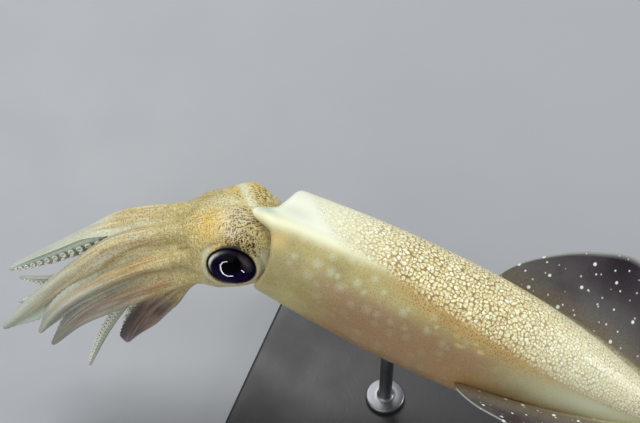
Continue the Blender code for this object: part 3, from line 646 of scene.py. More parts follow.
def mantle_side(x, inset, rim_share, side):
    """Rings of half the body. Between back and belly each goes out to the fin's edge and back.

    Each ring is the profile's circle less its inset, drawn in a little more at the rim by a bell of its
    place along the body. The fin's middle line leaves the flank at an angle that changes with the wave, and
    each face lies half the thickness from it. Where the span is nought the points stay on the circle.
    """
    x, inset, rim_share = x[:, None], inset[:, None], rim_share[:, None]
    round_edge = np.linspace(-1, 1, FIN_COLUMNS)
    out, turned = 1 - np.abs(round_edge), np.sign(round_edge)
    share = np.clip((x - FIN_FRONT_X) / (FIN_REAR_X - FIN_FRONT_X), 0, 1)
    place = np.radians(92 - 20 * share)
    span = np.where((x > FIN_FRONT_X) & (x < FIN_REAR_X), fin_span(x), 0.0)
    half = 0.28 + 0.75 * smooth(span / 7)
    root = half / mantle_radius(x)
    even = np.linspace(0, math.pi, BACK_STEPS + FIN_COLUMNS + BELLY_STEPS)
    fitted = np.concatenate([
        np.linspace(0, 1, BACK_STEPS, endpoint=False) * (place - root),
        place + round_edge * root,
        (place + root) + np.linspace(0, 1, BELLY_STEPS + 1)[1:] * (math.pi - place - root),
    ], 1)
    angle = even + (fitted - even) * smooth((x - 34) / 24)
    along = x + (rim_x(side * angle) - x) * rim_share
    lip = LIP_TURN * bell(x, 0, 3.5) * (0.6 + 0.4 * np.cos(angle))
    points = mantle_point(along, side * angle, -inset - lip)

    wave = np.sin(2 * math.pi * (1.15 * share + 0.1 * side))
    ripple = np.sin(2 * math.pi * (4.3 * share + 0.35 * side)) * FIN_RIPPLE
    lift = FIN_LIFT + FIN_WAVE * out * wave + ripple * out**2
    run, step = lift[:, : FIN_STEPS + 1], span / FIN_STEPS
    to_side, upward = (
        np.cumsum(slant * step, 1) - slant[:, :1] * step for slant in (np.cos(run), np.sin(run))
    )
    to_side, upward = (np.concatenate([way, way[:, -2::-1]], 1) for way in (to_side, upward))
    depth = FIN_EDGE_HALF + (half - FIN_EDGE_HALF) * (1 - out) ** 2.2
    depth = depth + FILLET * np.exp(-out * span / 1.1) * smooth(span / 7)
    depth = np.where(out > 0.999, 0, depth)
    start = mantle_point(x, side * place)
    fin = np.stack([
        start[..., 1] - side * to_side - side * turned * np.sin(lift) * depth,
        start[..., 2] + upward - turned * np.cos(lift) * depth,
    ], -1)
    held = smooth(span / 2.0) * smooth(out / 0.04)
    points[:, FLANK, 1:] += (fin - points[:, FLANK, 1:]) * held[..., None]
    reach = np.zeros(points.shape[:2])
    reach[:, FLANK] = out * smooth(span / 2.0)
    return points, angle * side, reach * span / FIN_SPAN


# %% The whole skin of the mantle
INNER_ROWS, RIM_TURN_ROWS = 9, 7


def mantle_rows():
    """Place, inset and hold of the rim of each ring.

    The rows run from the cavity's floor forward inside, round the rim, and back outside to the tail.
    """
    inner = np.linspace(CAVITY_X, 0, INNER_ROWS + 1)[:-1]
    wall_inset = RIM_EDGE + (WALL_THICKNESS - RIM_EDGE) * inner / CAVITY_X
    bend = np.linspace(math.pi, 0, RIM_TURN_ROWS)
    collar = np.linspace(0, COLLAR_X, 30)[1:]
    fin = FIN_FRONT_X + (FIN_REAR_X - FIN_FRONT_X) * np.linspace(0, 1, 104) ** 1.25
    body = np.concatenate([np.linspace(COLLAR_X, FIN_FRONT_X, 40)[1:], fin[1:], [130.7, TAIL_X]])
    return np.concatenate([
        np.stack([inner, wall_inset, 1 - inner / CAVITY_X], -1),
        np.stack([-RIM_EDGE / 2 * np.sin(bend), RIM_EDGE / 2 * (1 - np.cos(bend)), 1 + 0 * bend], -1),
        np.stack([collar, 0 * collar, 1 - collar / COLLAR_X], -1),
        np.stack([body, 0 * body, 0 * body], -1),
    ])


rows = mantle_rows()
halves = [mantle_side(*rows.T, side) for side in (1, -1)]
rings, angles, reaches = (np.concatenate([left, right[:, -2:0:-1]], 1) for left, right in zip(*halves))
points, faces = closed_tube(rings, [CAVITY_X, 0, 0], [TAIL_X + 0.5, 0, 0])
inside = np.zeros(angles.shape)
inside[: INNER_ROWS + 4] = 1.0
inside = np.append(inside, [1, 0])
x, angle, out = points[:, 0], np.append(angles, [0, 0]), np.append(reaches, [0, 0])
turned, side = np.degrees(angle), np.abs(np.degrees(angle))
print("mantle rings:", len(rings), "of", rings.shape[1], "points")

# %% [markdown]
# The markings are soft masks. Most are a bell or two, or a smooth step at each end, of the place along the
# body and of the turn from the back. The cells end along a line that leans outwards to the tail, and a
# fringe of dots runs beside it.

# %% The mantle's markings


def fold(angle):
    """The angle itself over the back, and the same numbers in reverse below: the arcsine of the sine."""
    return np.arcsin(np.sin(angle))


def stretch(value, low, fade_in, high, fade_out):
    """A smooth step up over the first width from low, and one down over the second width to high."""
    return smooth((value - low) / fade_in) * smooth((high - value) / fade_out)


edge_x = (4, 8, 17, 28, 34, 44, 52, 62, 70, 80, 88, 95, 107, 131)
edge_turn = (-40, -22, -1, 7, 13, 21, 24, 28, 31, 35, 39, 42, 46, 50)
band_edge = np.interp(x, edge_x, edge_turn)
band = smooth((band_edge - turned) / (14 + 20 * smooth((40 - x) / 24)) + 0.5)
band = band * smooth((turned + 100) / 20) * smooth((x - 1) / 16)
# a painted highlight: a bright line along the midline of the back, fading out towards 44 mm
highlight_turn = np.interp(x, (-8, -2, 5, 17, 34), (9, 14, 11, 10, 6))
midline_highlight = (0.95 * bell(turned, highlight_turn, 8) * smooth((44 - x) / 16)).clip(0, 1)
white = 0.95 * smooth((36 - x) / 26) * stretch(turned, -100, 30, 14, 12)
grey = 0.9 * bell(turned, 5, 6) * bell(x, -4.6, 2.6) + 0.3 * bell(turned, -4, 8) * bell(x, 2, 5)
grey = grey.clip(0, 1)
rosy = 0.85 * stretch(side, 34, 20, 168, 26) * stretch(x, 10, 16, 84, 24)
amber = bell(side, np.interp(x, (50, 100), (78, 84)), 11) * stretch(x, 44, 18, 122, 14)
amber = np.maximum(amber, 0.45 * bell(turned, band_edge + 6, 7) * bell(x, 62, 22))
# a painted sheen on the lower flank near the tail, over paler skin
sheen = bell(x, 100, 20) * bell(side, 58, 17)
belly = smooth((side - 136) / 26)
spotted = 0.45 * bell(side, 32, 18) * stretch(x, 2, 6, 64, 14) + 0.12
ovals = 0.8 * bell(x, 61, 8) * bell(side, 44, 8)
faded = np.maximum(0.85 * smooth((40 - x) / 38), 0.4 * smooth((x - 64) / 30))
fringe = bell(turned, band_edge + 4, 10) * stretch(x, 26, 20, 110, 16)
span_here = np.maximum(fin_span(np.clip(x, FIN_FRONT_X + 1, FIN_REAR_X - 1)), 3)
fin_edge = np.maximum(
    smooth((out * FIN_SPAN / span_here - 0.94) / 0.06), 0.7 * bell(x, 118, 9) * smooth((out - 0.2) / 0.4)
)
warm = 0.6 * bell(x, 1.4, 2.0) * bell(turned, 32, 8)
around_map = 17 * fold(angle) + np.sign(angle) * out * FIN_SPAN
mantle = add_piece(
    "mantle_skin", points, faces, MANTLE_FINISH, "squid_skin", warm=warm,
    about=np.stack([x + 0.003 * (x - 50).clip(0) ** 2, around_map, 0 * x], -1),
    tint_back=np.stack([band, midline_highlight, rosy], -1), tint_flank=np.stack([amber, sheen, belly], -1),
    tint_fin=np.stack([out, fin_edge, inside], -1), tint_front=np.stack([white, grey, fringe], -1),
    tint_marks=np.stack([spotted, ovals, faded], -1),
)
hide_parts("mantle_collar", "mantle_body", "mantle_tail", "fin_left", "fin_right")

# %% [markdown]
# ## The head and its eight arms
# Head and arms are one skin too. The head is a bent tube of rings. At the crown each ring becomes eight
# bulges, one for each arm, and an inner sheet with the same columns lines the bowl round the mouth. A
# little further out the two sheets meet between the arms, in the small webs, and each arm goes on as a tube
# of its own. A few rounds of smoothing then soften the forks.

# %% The head's bent axis
HEAD_DROOP, HEAD_YAW, HEAD_TWIST = math.radians(37), math.radians(16), math.radians(10)
CROWN_Q, CROWN_RADIUS, FLARE = 25.5, 8.6, math.radians(6)
# distance along the axis, half width, height above it, depth below it
HEAD_PROFILE = np.array([
    (-13.7, 9.4, 8.6, 5.6),
    (-4.0, 9.8, 8.6, 7.5),
    (3.0, 12.2, 10.3, 10.4),
    (10.0, 14.6, 12.6, 12.1),
    (17.0, 14.4, 13.3, 13.0),
    (25.5, 12.9, 12.9, 12.4),
])


def direction(droop, yaw):
    """Forward, turned down by droop and to the left by yaw."""
    return np.stack([-np.cos(droop) * np.cos(yaw), -np.cos(droop) * np.sin(yaw), -np.sin(droop)], -1)


def run_along(directions, step):
    """Points a step apart that follow the directions: the running sum of the mean of each pair."""
    middle = (directions[1:] + directions[:-1]) / 2
    return np.concatenate([np.zeros((1, 3)), np.cumsum(middle * step, 0)])


def read_rows(places, known, table):
    """Each column of a table read between its known places."""
    return np.stack([np.interp(places, known, column) for column in table.T], -1)


def turned_about(forward, up, angle):
    """A direction turned about forward by an angle: its cosine, and the sine of the way across."""
    return up * np.cos(angle) + np.cross(forward, up) * np.sin(angle)


AXIS_Q = np.linspace(-16, 30, 921)
AXIS_BEND = smooth((AXIS_Q + 6) / 18)
AXIS = run_along(direction(HEAD_DROOP * AXIS_BEND, HEAD_YAW * AXIS_BEND), AXIS_Q[1] - AXIS_Q[0])
AXIS = AXIS - read_rows(0, AXIS_Q, AXIS)


def head_frame(q):
    """Point, forward, up and right at distances along the axis, turned about it by the twist."""
    q = np.atleast_1d(np.asarray(q, float))
    here = smooth((q + 6) / 18)
    droop, yaw, twist = HEAD_DROOP * here, HEAD_YAW * here, (HEAD_TWIST * here)[:, None]
    forward = direction(droop, yaw)
    up = np.stack([-np.sin(droop) * np.cos(yaw), -np.sin(droop) * np.sin(yaw), np.cos(droop)], -1)
    up = turned_about(forward, up, twist)
    return read_rows(q, AXIS_Q, AXIS), forward, up, np.cross(forward, up)


def head_sizes(q):
    """Half width, height and depth: cubic curves through the rows of the profile."""
    places, table = HEAD_PROFILE[:, 0], HEAD_PROFILE[:, 1:]
    k = np.clip(np.searchsorted(places, q) - 1, 0, len(places) - 2)
    slopes = np.gradient(table, places, axis=0)
    wide = (places[k + 1] - places[k])[:, None]
    t = (q - places[k])[:, None] / wide
    start = (2 * t**3 - 3 * t**2 + 1) * table[k] + (t**3 - 2 * t**2 + t) * wide * slopes[k]
    return start + (3 * t**2 - 2 * t**3) * table[k + 1] + (t**3 - t**2) * wide * slopes[k + 1]


crown_point, crown_forward, crown_up, crown_right = (row[0] for row in head_frame(CROWN_Q))
print("crown at", crown_point.round(1), "mm, facing", crown_forward.round(2))

# %% The eyes' places
EYE_Q, EYE_OUT = 9.8, 11.5
EYE_UP, EYE_LONG, EYE_TALL, EYE_DEEP = {1: 1.3, -1: 0}, 7.9, {1: 7.4, -1: 6.4}, 4.6
LID_SHIFT, LID_RISE, LID_LONG, LID_TALL = -0.35, {1: 0.2, -1: -0.5}, 7.0, {1: 6.75, -1: 5.3}


def eye_frame(side):
    """Centre of an eye, its long, short and outward directions. Side is 1 for the left."""
    point, forward, up, right = (row[0] for row in head_frame(EYE_Q))
    level = -side * right
    rise, turn = side * math.radians(6), math.radians(20)
    outward = level * math.cos(rise) + up * math.sin(rise)
    upward = up * math.cos(rise) - level * math.sin(rise)
    along = forward * math.cos(turn) + upward * math.sin(turn)
    across = upward * math.cos(turn) - forward * math.sin(turn)
    return point + outward * EYE_OUT + across * EYE_UP[side], along, across, outward


def lid_share(points, side):
    """Distance from the opening's middle in its own half axes, height, and the two offsets of each point."""
    centre, along, across, outward = eye_frame(side)
    away = points - centre
    ahead, up = away @ along, away @ across
    r = np.hypot((ahead - LID_SHIFT) / LID_LONG, (up - LID_RISE[side]) / LID_TALL[side])
    return r, away @ outward, ahead, up


def round_eyes(points):
    """Sinks the skin behind each eyeball and lays the lids over its edge.

    With r the distance from the opening's middle in its own half axes, the skin lies under the eyeball
    inside r = 0.9. From r = 1 it lies at least 0.4 mm over the ball, has a soft fold round r = 1.12, and
    runs out into the head by r = 1.8.
    """
    for side in (1, -1):
        r, height, ahead, up = lid_share(points, side)
        ball = EYE_DEEP * np.sqrt(np.clip(1 - (ahead / EYE_LONG) ** 2 - (up / EYE_TALL[side]) ** 2, 0, None))
        lid = height + 0.5 * bell(r, 1.12, 0.12)
        over = np.where(ball > 0.4, ball + 0.4, 0.8)
        lid = lid + np.maximum(over - lid, 0) * smooth((1.8 - r) / 0.7)
        under = np.minimum(ball - 1.1, lid)
        wanted = lid + (under - lid) * smooth((1.01 - r) / 0.11)
        near = (height > -3.5) & (r < 2)
        points = points + np.where(near, wanted - height, 0)[..., None] * eye_frame(side)[3]
    return points


print("left eye at", eye_frame(1)[0].round(1), "mm, right eye at", eye_frame(-1)[0].round(1), "mm")

# %% The arms' paths and widths
# place round the crown, length, droop, yaw, droop and yaw of the curl, swell, keel, twist
ARMS = {
    "right_4": (-157.5, 64, 61, 61, 8, 26, -0.45, 0.25, 0),
    "right_3": (-112.5, 66, 52, 41, -43, -2, 0, 0.7, 0),
    "right_2": (-67.5, 64, 57, 50, -43, -38, -0.15, 0.25, 0),
    "right_1": (-22.5, 59.4, 48.9, 25.2, -26.8, 16.8, 0.2, 0.25, 42),
    "left_1": (22.5, 65.6, 49.5, 43.4, -3, 6.2, 0.42, 0.25, 0),
    "left_2": (67.5, 55, 39, 39, 34, 16, -0.14, 0.25, 0),
    "left_3": (112.5, 52, 43, 34, 7, 30, 0.12, 0.5, 0),
    "left_4": (157.5, 48.3, 70.9, 51.4, 21, 28.2, 0.35, 0.9, 0),
}
ARM_ROOT, ARM_TIP, ORAL_FLATNESS, ROOT_SWELL, FRILL_PITCH = 3.0, 0.35, 0.75, 0.3, 2.0
PATH_STEPS = 400


def limb_frames(row, circle, shares, twist=0.0):
    """Points, forward, outward and sideways along a limb.

    It leaves the crown nearly along the head, settles to its own droop and yaw by half way, and curls to
    its tip. The outward direction is carried along the path without turning round it.
    """
    place, length, droop, yaw, droop_curl, yaw_curl = row[:6]
    angle = math.radians(place)
    outward = math.cos(angle) * crown_up - math.sin(angle) * crown_right
    fine = np.linspace(0, 1, PATH_STEPS + 1)
    first = np.array([HEAD_DROOP - FLARE * math.cos(angle), HEAD_YAW + FLARE * math.sin(angle)])
    turned = first + np.outer(smooth(fine / 0.5), np.radians([droop, yaw]) - first)
    turned += np.outer(smooth((fine - 0.5) / 0.5), np.radians([droop_curl, yaw_curl]))
    tangents = direction(*turned.T)
    path = crown_point + outward * circle + run_along(tangents, length / PATH_STEPS)
    tangents[0] = crown_forward
    outwards = np.zeros_like(tangents)
    for k, tangent in enumerate(tangents):
        outward = unit(outward - tangent * outward.dot(tangent))
        outwards[k] = outward
    point, forward, outward = (read_rows(shares, fine, rows) for rows in (path, tangents, outwards))
    forward = unit(forward)
    outward = unit(outward - forward * (outward * forward).sum(-1, keepdims=True))
    outward = turned_about(forward, outward, (math.radians(twist) * smooth((shares - 0.22) / 0.35))[:, None])
    return point, forward, outward, np.cross(forward, outward)


def arm_frames(name, shares):
    """Points, forward, outward and sideways along one of the eight arms."""
    return limb_frames(ARMS[name], CROWN_RADIUS, shares, ARMS[name][8])


def arm_half_width(shares, swell):
    """Swells or thins over the first third, then tapers as the root of one minus the share squared."""
    middle = ARM_ROOT * (1 + swell * smooth(shares / 0.35))
    return ARM_TIP + (middle - ARM_TIP) * np.sqrt(np.clip(1 - shares**2, 0, 1))


def arm_section(turn, width, shares, keel, length):
    """Depth and side of the section at each turn from the back, in millimetres.

    Round outside with a keel, flatter inside, and with a thin frilled membrane along both edges of the
    suckers' side.
    """
    width, shares = width[:, None], shares[:, None]
    wrapped = half_turned(turn)
    outside = 0.95 + ROOT_SWELL * (1 - smooth(shares / 0.5))
    depth = np.where(np.cos(turn) > 0, outside, ORAL_FLATNESS) * np.cos(turn)
    depth = depth + keel * stretch(shares, 0, 0.4, 0.98, 0.4) * bell(wrapped, 0, math.radians(25))
    frill = 0.5 + 0.5 * np.cos(2 * math.pi * shares * length / FRILL_PITCH)
    past = np.degrees(np.abs(wrapped)) - 90
    edge = np.interp(past, (0, 4, 8, 12, 16, 20, 26, 34), (0, 0.35, 0.8, 1, 1, 0.6, 0.15, 0))
    flange = edge * stretch(shares, 0.12, 0.2, 1, 0.2) * (0.4 + 0.3 * shares + 0.12 * frill)
    return width * (depth - flange * 0.55), width * (np.sin(turn) + flange * np.sign(np.sin(turn)))


# %% The grids of the head, the crown's bowl and the arms
SECTOR = 24
COLUMNS = 8 * SECTOR
WEB, WEB_ROWS, ARM_ROWS, BOWL_DEPTH = 13.0, 18, 140, 0.8
names = list(ARMS)
places = np.array([ARMS[name][0] for name in names])
outer_turn = math.pi / 2 - math.pi * np.arange(SECTOR) / SECTOR
FRILL_STEPS = np.array([0, 4, 8, 12, 16, 20, 26, 34, 44, 55, 66, 78])
inner_turn = math.pi / 2 + np.radians(np.concatenate([FRILL_STEPS, [90], 180 - FRILL_STEPS[:0:-1]]))


def limb_surface(name, shares, turn):
    """An arm's surface at shares of its length and turns round it."""
    length, swell, keel = (ARMS[name][column] for column in (1, 6, 7))
    point, _, outward, sideways = arm_frames(name, shares)
    depth, side = arm_section(turn, arm_half_width(shares, swell), shares, keel, length)
    return swept(point, depth, side, outward, sideways)


def sheet_rows(turn, side_sign, distances):
    """Eight arms side by side as one sheet. Where two arms touch, the column lies midway between them."""
    parts = []
    for before, name in zip(names[-1:] + names, names):
        shares, shares_before = (distances / ARMS[arm][1] for arm in (name, before))
        here = limb_surface(name, shares, turn)
        edge = limb_surface(before, shares_before, np.array([-math.pi / 2]))[:, 0]
        outward = unit(arm_frames(name, shares)[2] + arm_frames(before, shares_before)[2])
        thick = 1.6 * (1 - distances / WEB) ** 2
        here[:, 0] = (here[:, 0] + edge) / 2 + side_sign * outward * thick[:, None]
        parts.append(here)
    return np.concatenate(parts, 1)


head_q = np.concatenate([
    np.linspace(-13.7, -1, 20)[:-1], np.linspace(-1, 19.5, 76)[:-1], np.linspace(19.5, CROWN_Q, 13)[:-1]
])
theta = np.radians(places[:, None] - 22.5 + 45 * np.arange(SECTOR) / SECTOR).ravel()
point, forward, up, right = head_frame(head_q)
width, above, below = head_sizes(head_q).T[:, :, None]
turned, along = np.degrees(half_turned(theta)), head_q[:, None]
brow = 1 + 0.11 * bell(turned, 50, 22) * bell(along, 6.5, 5)
brow = brow + 0.19 * bell(turned, -52, 24) * bell(along, 5.4, 4.2)
height = np.where(np.cos(theta) > 0, above, below) * np.cos(theta) * brow
across = width * np.sin(theta) * brow + 1.5 * bell(along, 1, 5)
head_rings = swept(point, height, -across, up, right)

depth = CROWN_RADIUS + (0.95 + ROOT_SWELL) * np.cos(outer_turn)[None] * ARM_ROOT
side = np.sin(outer_turn)[None] * ARM_ROOT
bulge = []
for place in np.radians(places):
    outward = math.cos(place) * up - math.sin(place) * right
    bulge.append(swept(point, depth, side, outward, np.cross(forward, outward)))
bulge = np.concatenate(bulge, 1)
edge = np.arange(8) * SECTOR
bulge[:, edge] = head_rings[:, edge] * 0.5 + bulge[:, edge] * 0.5
grown = smooth((head_q - 17.5) / (CROWN_Q - 17.5))[:, None, None]
head_rings = round_eyes(head_rings + (bulge - head_rings) * grown)

distances = np.linspace(0, WEB, WEB_ROWS + 1)
outer_sheet = sheet_rows(outer_turn, 1, distances)
inner_sheet = sheet_rows(inner_turn, -1, distances)
share = np.linspace(0, 1, 9)[1:-1, None, None]
bowl = crown_point + (inner_sheet[:1] - crown_point) * share + crown_forward * (1 - share**2) * BOWL_DEPTH
print("head", head_rings.shape, "outer sheet", outer_sheet.shape, "inner sheet", inner_sheet.shape)

# %% Joined into one skin
# the length of a middling arm, which the shares on the crown's sheets are taken of
MIDDLING_ARM = 60.0


def limb_rows(along, turn, arm, share):
    """Distance along, turn round the arm, number of the arm and share of it, for each point of a grid."""
    return np.stack(np.broadcast_arrays(along[:, None], turn, arm, share[:, None]), -1).reshape(-1, 4)


blocks = [rings.reshape(-1, 3) for rings in (head_rings, outer_sheet, bowl, inner_sheet)]
outer_rows, inner_rows = len(head_rings) + len(outer_sheet), len(bowl) + len(inner_sheet)
outer_index = np.arange(outer_rows * COLUMNS).reshape(-1, COLUMNS)
inner_index = outer_index.size + np.arange(inner_rows * COLUMNS).reshape(-1, COLUMNS)
inner_index[-1, edge] = outer_index[-1, edge]
faces = wall(outer_index) + wall(inner_index[:, ::-1])
arm_of_column = np.repeat(np.arange(8), SECTOR)
limb_values = [
    limb_rows(along, np.tile(turn, 8), arm_of_column, (along - CROWN_Q).clip(0) / MIDDLING_ARM)
    for along, turn in (
        (np.concatenate([head_q, CROWN_Q + distances]), outer_turn),
        (np.concatenate([np.full(len(bowl), CROWN_Q), CROWN_Q + distances]), inner_turn),
    )
]
total = outer_index.size + inner_index.size
ring_turn = np.concatenate([outer_turn, [-math.pi / 2], inner_turn[:0:-1] - 2 * math.pi])
for k, name in enumerate(names):
    length = ARMS[name][1]
    first = WEB / length
    shares = first + (1 - first) * np.sin(np.linspace(0, math.pi / 2, ARM_ROWS + 1))[1:]
    surface = limb_surface(name, shares, ring_turn)
    tip, tip_forward = arm_frames(name, np.array([1.0]))[:2]
    columns = np.arange(k * SECTOR, (k + 1) * SECTOR + 1) % COLUMNS
    first_ring = np.concatenate([outer_index[-1, columns], inner_index[-1, columns[1:-1]][::-1]])
    index = total + np.arange(surface[..., 0].size).reshape(-1, 2 * SECTOR)
    total += index.size + 1
    blocks += [surface.reshape(-1, 3), tip + tip_forward * 0.3]
    faces += wall(np.concatenate([first_ring[None], index])) + fan(index[-1], total - 1)
    limb_values.append(limb_rows(CROWN_Q + shares * length, ring_turn, k, shares))
    limb_values.append([[CROWN_Q + length, 0, k, 1]])
blocks += [head_frame(head_q[0])[0], (crown_point + crown_forward * BOWL_DEPTH)[None]]
faces += fan(outer_index[0], total) + fan(inner_index[0], total + 1)
limb_values.append([[head_q[0], 0, 0, 0], [CROWN_Q, math.pi, 0, 0]])
points, limb_values = np.concatenate(blocks), np.concatenate(limb_values)
print("joined:", len(points), "points")

# %% Smoothed at the forks
FORK_REACH, FORK_ROUNDS = 26.0, 14


def smoothed(points, faces, weight, rounds):
    """Each round moves a point towards the mean of its neighbours by its own weight."""
    pairs = np.concatenate([np.stack([face, np.roll(face, -1)], -1) for face in faces])
    here, other = np.concatenate([pairs, pairs[:, ::-1]]).T
    degree = np.maximum(np.bincount(here, minlength=len(points)), 1)[:, None]
    for _ in range(rounds):
        total = np.stack([np.bincount(here, column[other], len(points)) for column in points.T], -1)
        points = points + (total / degree - points) * weight[:, None]
    return points


fork = bell((points - crown_point) @ crown_forward, WEB * 0.75, 7.0)
fork = np.where(np.linalg.norm(points - crown_point, axis=1) < FORK_REACH, fork, 0)
off_ridge = 1 - 0.9 * bell(half_turned(limb_values[:, 1]), 0, math.radians(32))
points = smoothed(points, faces, 0.6 * fork * off_ridge, FORK_ROUNDS)
print("forks smoothed at", int((fork > 0.1).sum()), "points")

# %% [markdown]
# The flat map of this skin runs along the head and arms and round them. A second one lies in the plane of
# each eye. The masks are again bells and smooth steps, of the distance along, of the turn from the back and,
# near an eye, of the distance from the lids' opening.

# %% Markings of the head and arms


def skin_map(values):
    """The flat map of the skin, 12 mm a radian of the folded turn round the head, and that turn itself."""
    around = np.radians(places)[values[:, 2].astype(int)] - fold(values[:, 1]) / 4
    return np.stack([values[:, 0], 12 * fold(around), values[:, 3]], -1), around


def head_tints(points, values):
    """Soft masks over the head: gold, dots, silver, then black lid, pale lid and the largest dots."""
    q, turned = values[:, 0], np.degrees(half_turned(skin_map(values)[1]))
    side = np.abs(turned)
    golden = np.maximum.reduce([
        bell(q, 14, 4.4) * bell(turned, 20, 18),
        0.9 * bell(q, 8.5, 3.4) * bell(side, 45, 10),
        0.95 * bell(q, 9.6, 1.8) * bell(turned, -29, 7),
    ])
    dotted = np.maximum.reduce([
        1.5 * bell(q, 5.8, 2.3 + 0.04 * turned.clip(0, 40)) * stretch(turned, -9, 12, 60, 12),
        1.2 * bell(q, 3.7, 1.7) * bell(turned, -38, 20),
        0.7 * bell(q, 7.7, 1.0) * bell(turned, -21, 5),
        0.35 * bell(q, 17, 7) * bell(side, 25, 40),
    ]).clip(0, 1)
    silver = 1.2 * bell(q, 5 + 0.118 * (-13.5 - turned), 1.1) * stretch(turned, -66, 12, -6, 6)
    silver = silver + 0.6 * bell(q, 11, 4) * bell(turned, -9, 10)
    silver = (silver + 0.5 * bell(q, 1.5, 1.5) * bell(turned, -50, 14)).clip(0, 1)
    pale = 0.6 * smooth((3 - q) / 3) * smooth((side - 36) / 14)
    dark, black = np.zeros(len(points)), np.zeros(len(points))
    for eye_side in (1, -1):
        r, height, ahead, up = lid_share(points, eye_side)
        near = (height > -3) & (values[:, 3] <= 0)
        around = np.degrees(np.arctan2(up, ahead))
        thick = smooth((1.09 - r) / 0.05) * smooth((up - 2.6) / 2) * smooth((4.4 - abs(ahead)) / 2.6)
        black = np.maximum(black, near * (2.4 * bell(r, 1.24, 0.2) * bell(around, 124, 26)).clip(0, 1))
        pale = np.maximum(pale, near * 0.8 * bell(r, 1.14, 0.1) * smooth((0.6 * ahead - up + 3.5) / 4))
        dark = np.maximum(dark, near * np.maximum(smooth((1.04 - r) / 0.05), thick * (eye_side > 0)))
    return np.stack([golden, dotted * (1 - 0.8 * silver), silver], -1), np.stack([dark, pale, black], -1)


# how strong each colour is on each arm, right 4 to right 1, left 1 to left 4, and on the tentacles
AMBER = np.array([0.1, 0.3, 0.2, 0.2, 0.3, 0.75, 0.95, 0.4, 0.2])
BLUE = np.array([0.95, 0.45, 0.45, 0.95, 0.3, 0.4, 0.3, 0.0, 0.35])
DUSK = np.array([0.0, 0.3, 0.3, 0.0, 0.08, 0.26, 0.62, 1.0, 0.0])


def arm_tints(values):
    """Amber along the outer face, white and blue on the far part, the oral face and the membranes, dusk
    towards the tip. The blue also holds painted highlights, along the membranes' edges and the upper edge of
    right 1.
    """
    share, arm = values[:, 3], values[:, 2].astype(int)
    around = np.degrees(half_turned(values[:, 1]))
    turned = np.abs(around)
    oral = smooth((turned - 105) / 25)
    # painted highlight along the upper edge of right 1; it turns back against the arm's twist to keep to one
    # side
    top_edge_highlight = bell(around, 58 - 48 * smooth((share - 0.22) / 0.35), 34)
    amber = AMBER[arm] * bell(turned, 40, 26) * stretch(share, 0, 0.2, 1, 0.3)
    blue = np.maximum.reduce([
        BLUE[arm] * smooth((share - 0.25) / 0.4) * (0.3 + 0.7 * bell(turned, 0, 30)),
        (arm == names.index("right_1")) * 0.9 * top_edge_highlight * smooth((share + 0.02) / 0.15),
        # pale membranes, with a painted highlight along their edges
        0.5 * bell(turned, 100, 12) * smooth((share - 0.05) / 0.2) * (1 - DUSK[arm]),
        0.65 * oral * smooth(share / 0.1),
        (arm == names.index("left_4")) * 0.5 * bell(turned, 0, 8) * smooth((share - 0.2) / 0.3),
    ])
    dusk = DUSK[arm] * smooth((share - 0.1) / 0.4) * (1 - 0.7 * oral)
    return np.stack([amber, blue.clip(0, 1), dusk], -1)


def eye_map(points, values):
    """The flat map round each eye: the two offsets in its plane, and how near the eye the point is.

    Each offset is made less by 0.6 of the height over the eye's middle, so that the map isn't squeezed
    where the head falls away. Nearness fades with the distance from the lids and below the eye's plane.
    """
    flat = np.zeros((len(points), 3))
    for side in (1, -1):
        r, height, ahead, up = lid_share(points, side)
        near = ((1.9 - r) / 0.5).clip(0, 1) * ((height + 4) / 1.2).clip(0, 1) * (values[:, 3] <= 0)
        ahead, up = (away - 0.6 * np.sign(away) * height * smooth(np.abs(away) / 4) for away in (ahead, up))
        flat = np.where(height[:, None] > -6, np.stack([ahead, up, near], -1), flat)
    return flat


brow, lid = head_tints(points, limb_values)
head = add_piece(
    "head_and_arms", points, faces, HEAD_FINISH, "arm_skin", about=skin_map(limb_values)[0],
    by_eye=eye_map(points, limb_values), tint_brow=brow, tint_lid=lid, tint_arm=arm_tints(limb_values),
)
nodes = ["head"] + [f"arm_{name}_{half}" for name in names for half in ("base", "tip")]
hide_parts(*nodes)

# %% [markdown]
# ## The tentacles
# Two longer limbs lie inside the ring of arms, each a bare stalk with a club at its end. They are drawn in
# here, as a squid holds them between strikes.

# %% Stalks and clubs
# place round the crown, length, droop, yaw, droop and yaw of the curl
TENTACLES = {"left": (135, 46, 47, 14, 18, 15), "right": (-100, 43, 36, 33, 24, 0)}
TENTACLE_CIRCLE, CLUB_START, TENTACLE_KEEL = 3.3, 0.6, 0.25


def club_half_width(shares):
    """An even stalk, then a club that swells and narrows to a point."""
    swelled = 1.2 + 1.0 * smooth((shares - CLUB_START) / 0.14)
    return swelled * np.maximum(1 - np.clip((shares - CLUB_START) / 0.4, 0, None) ** 2.2, 0.16)


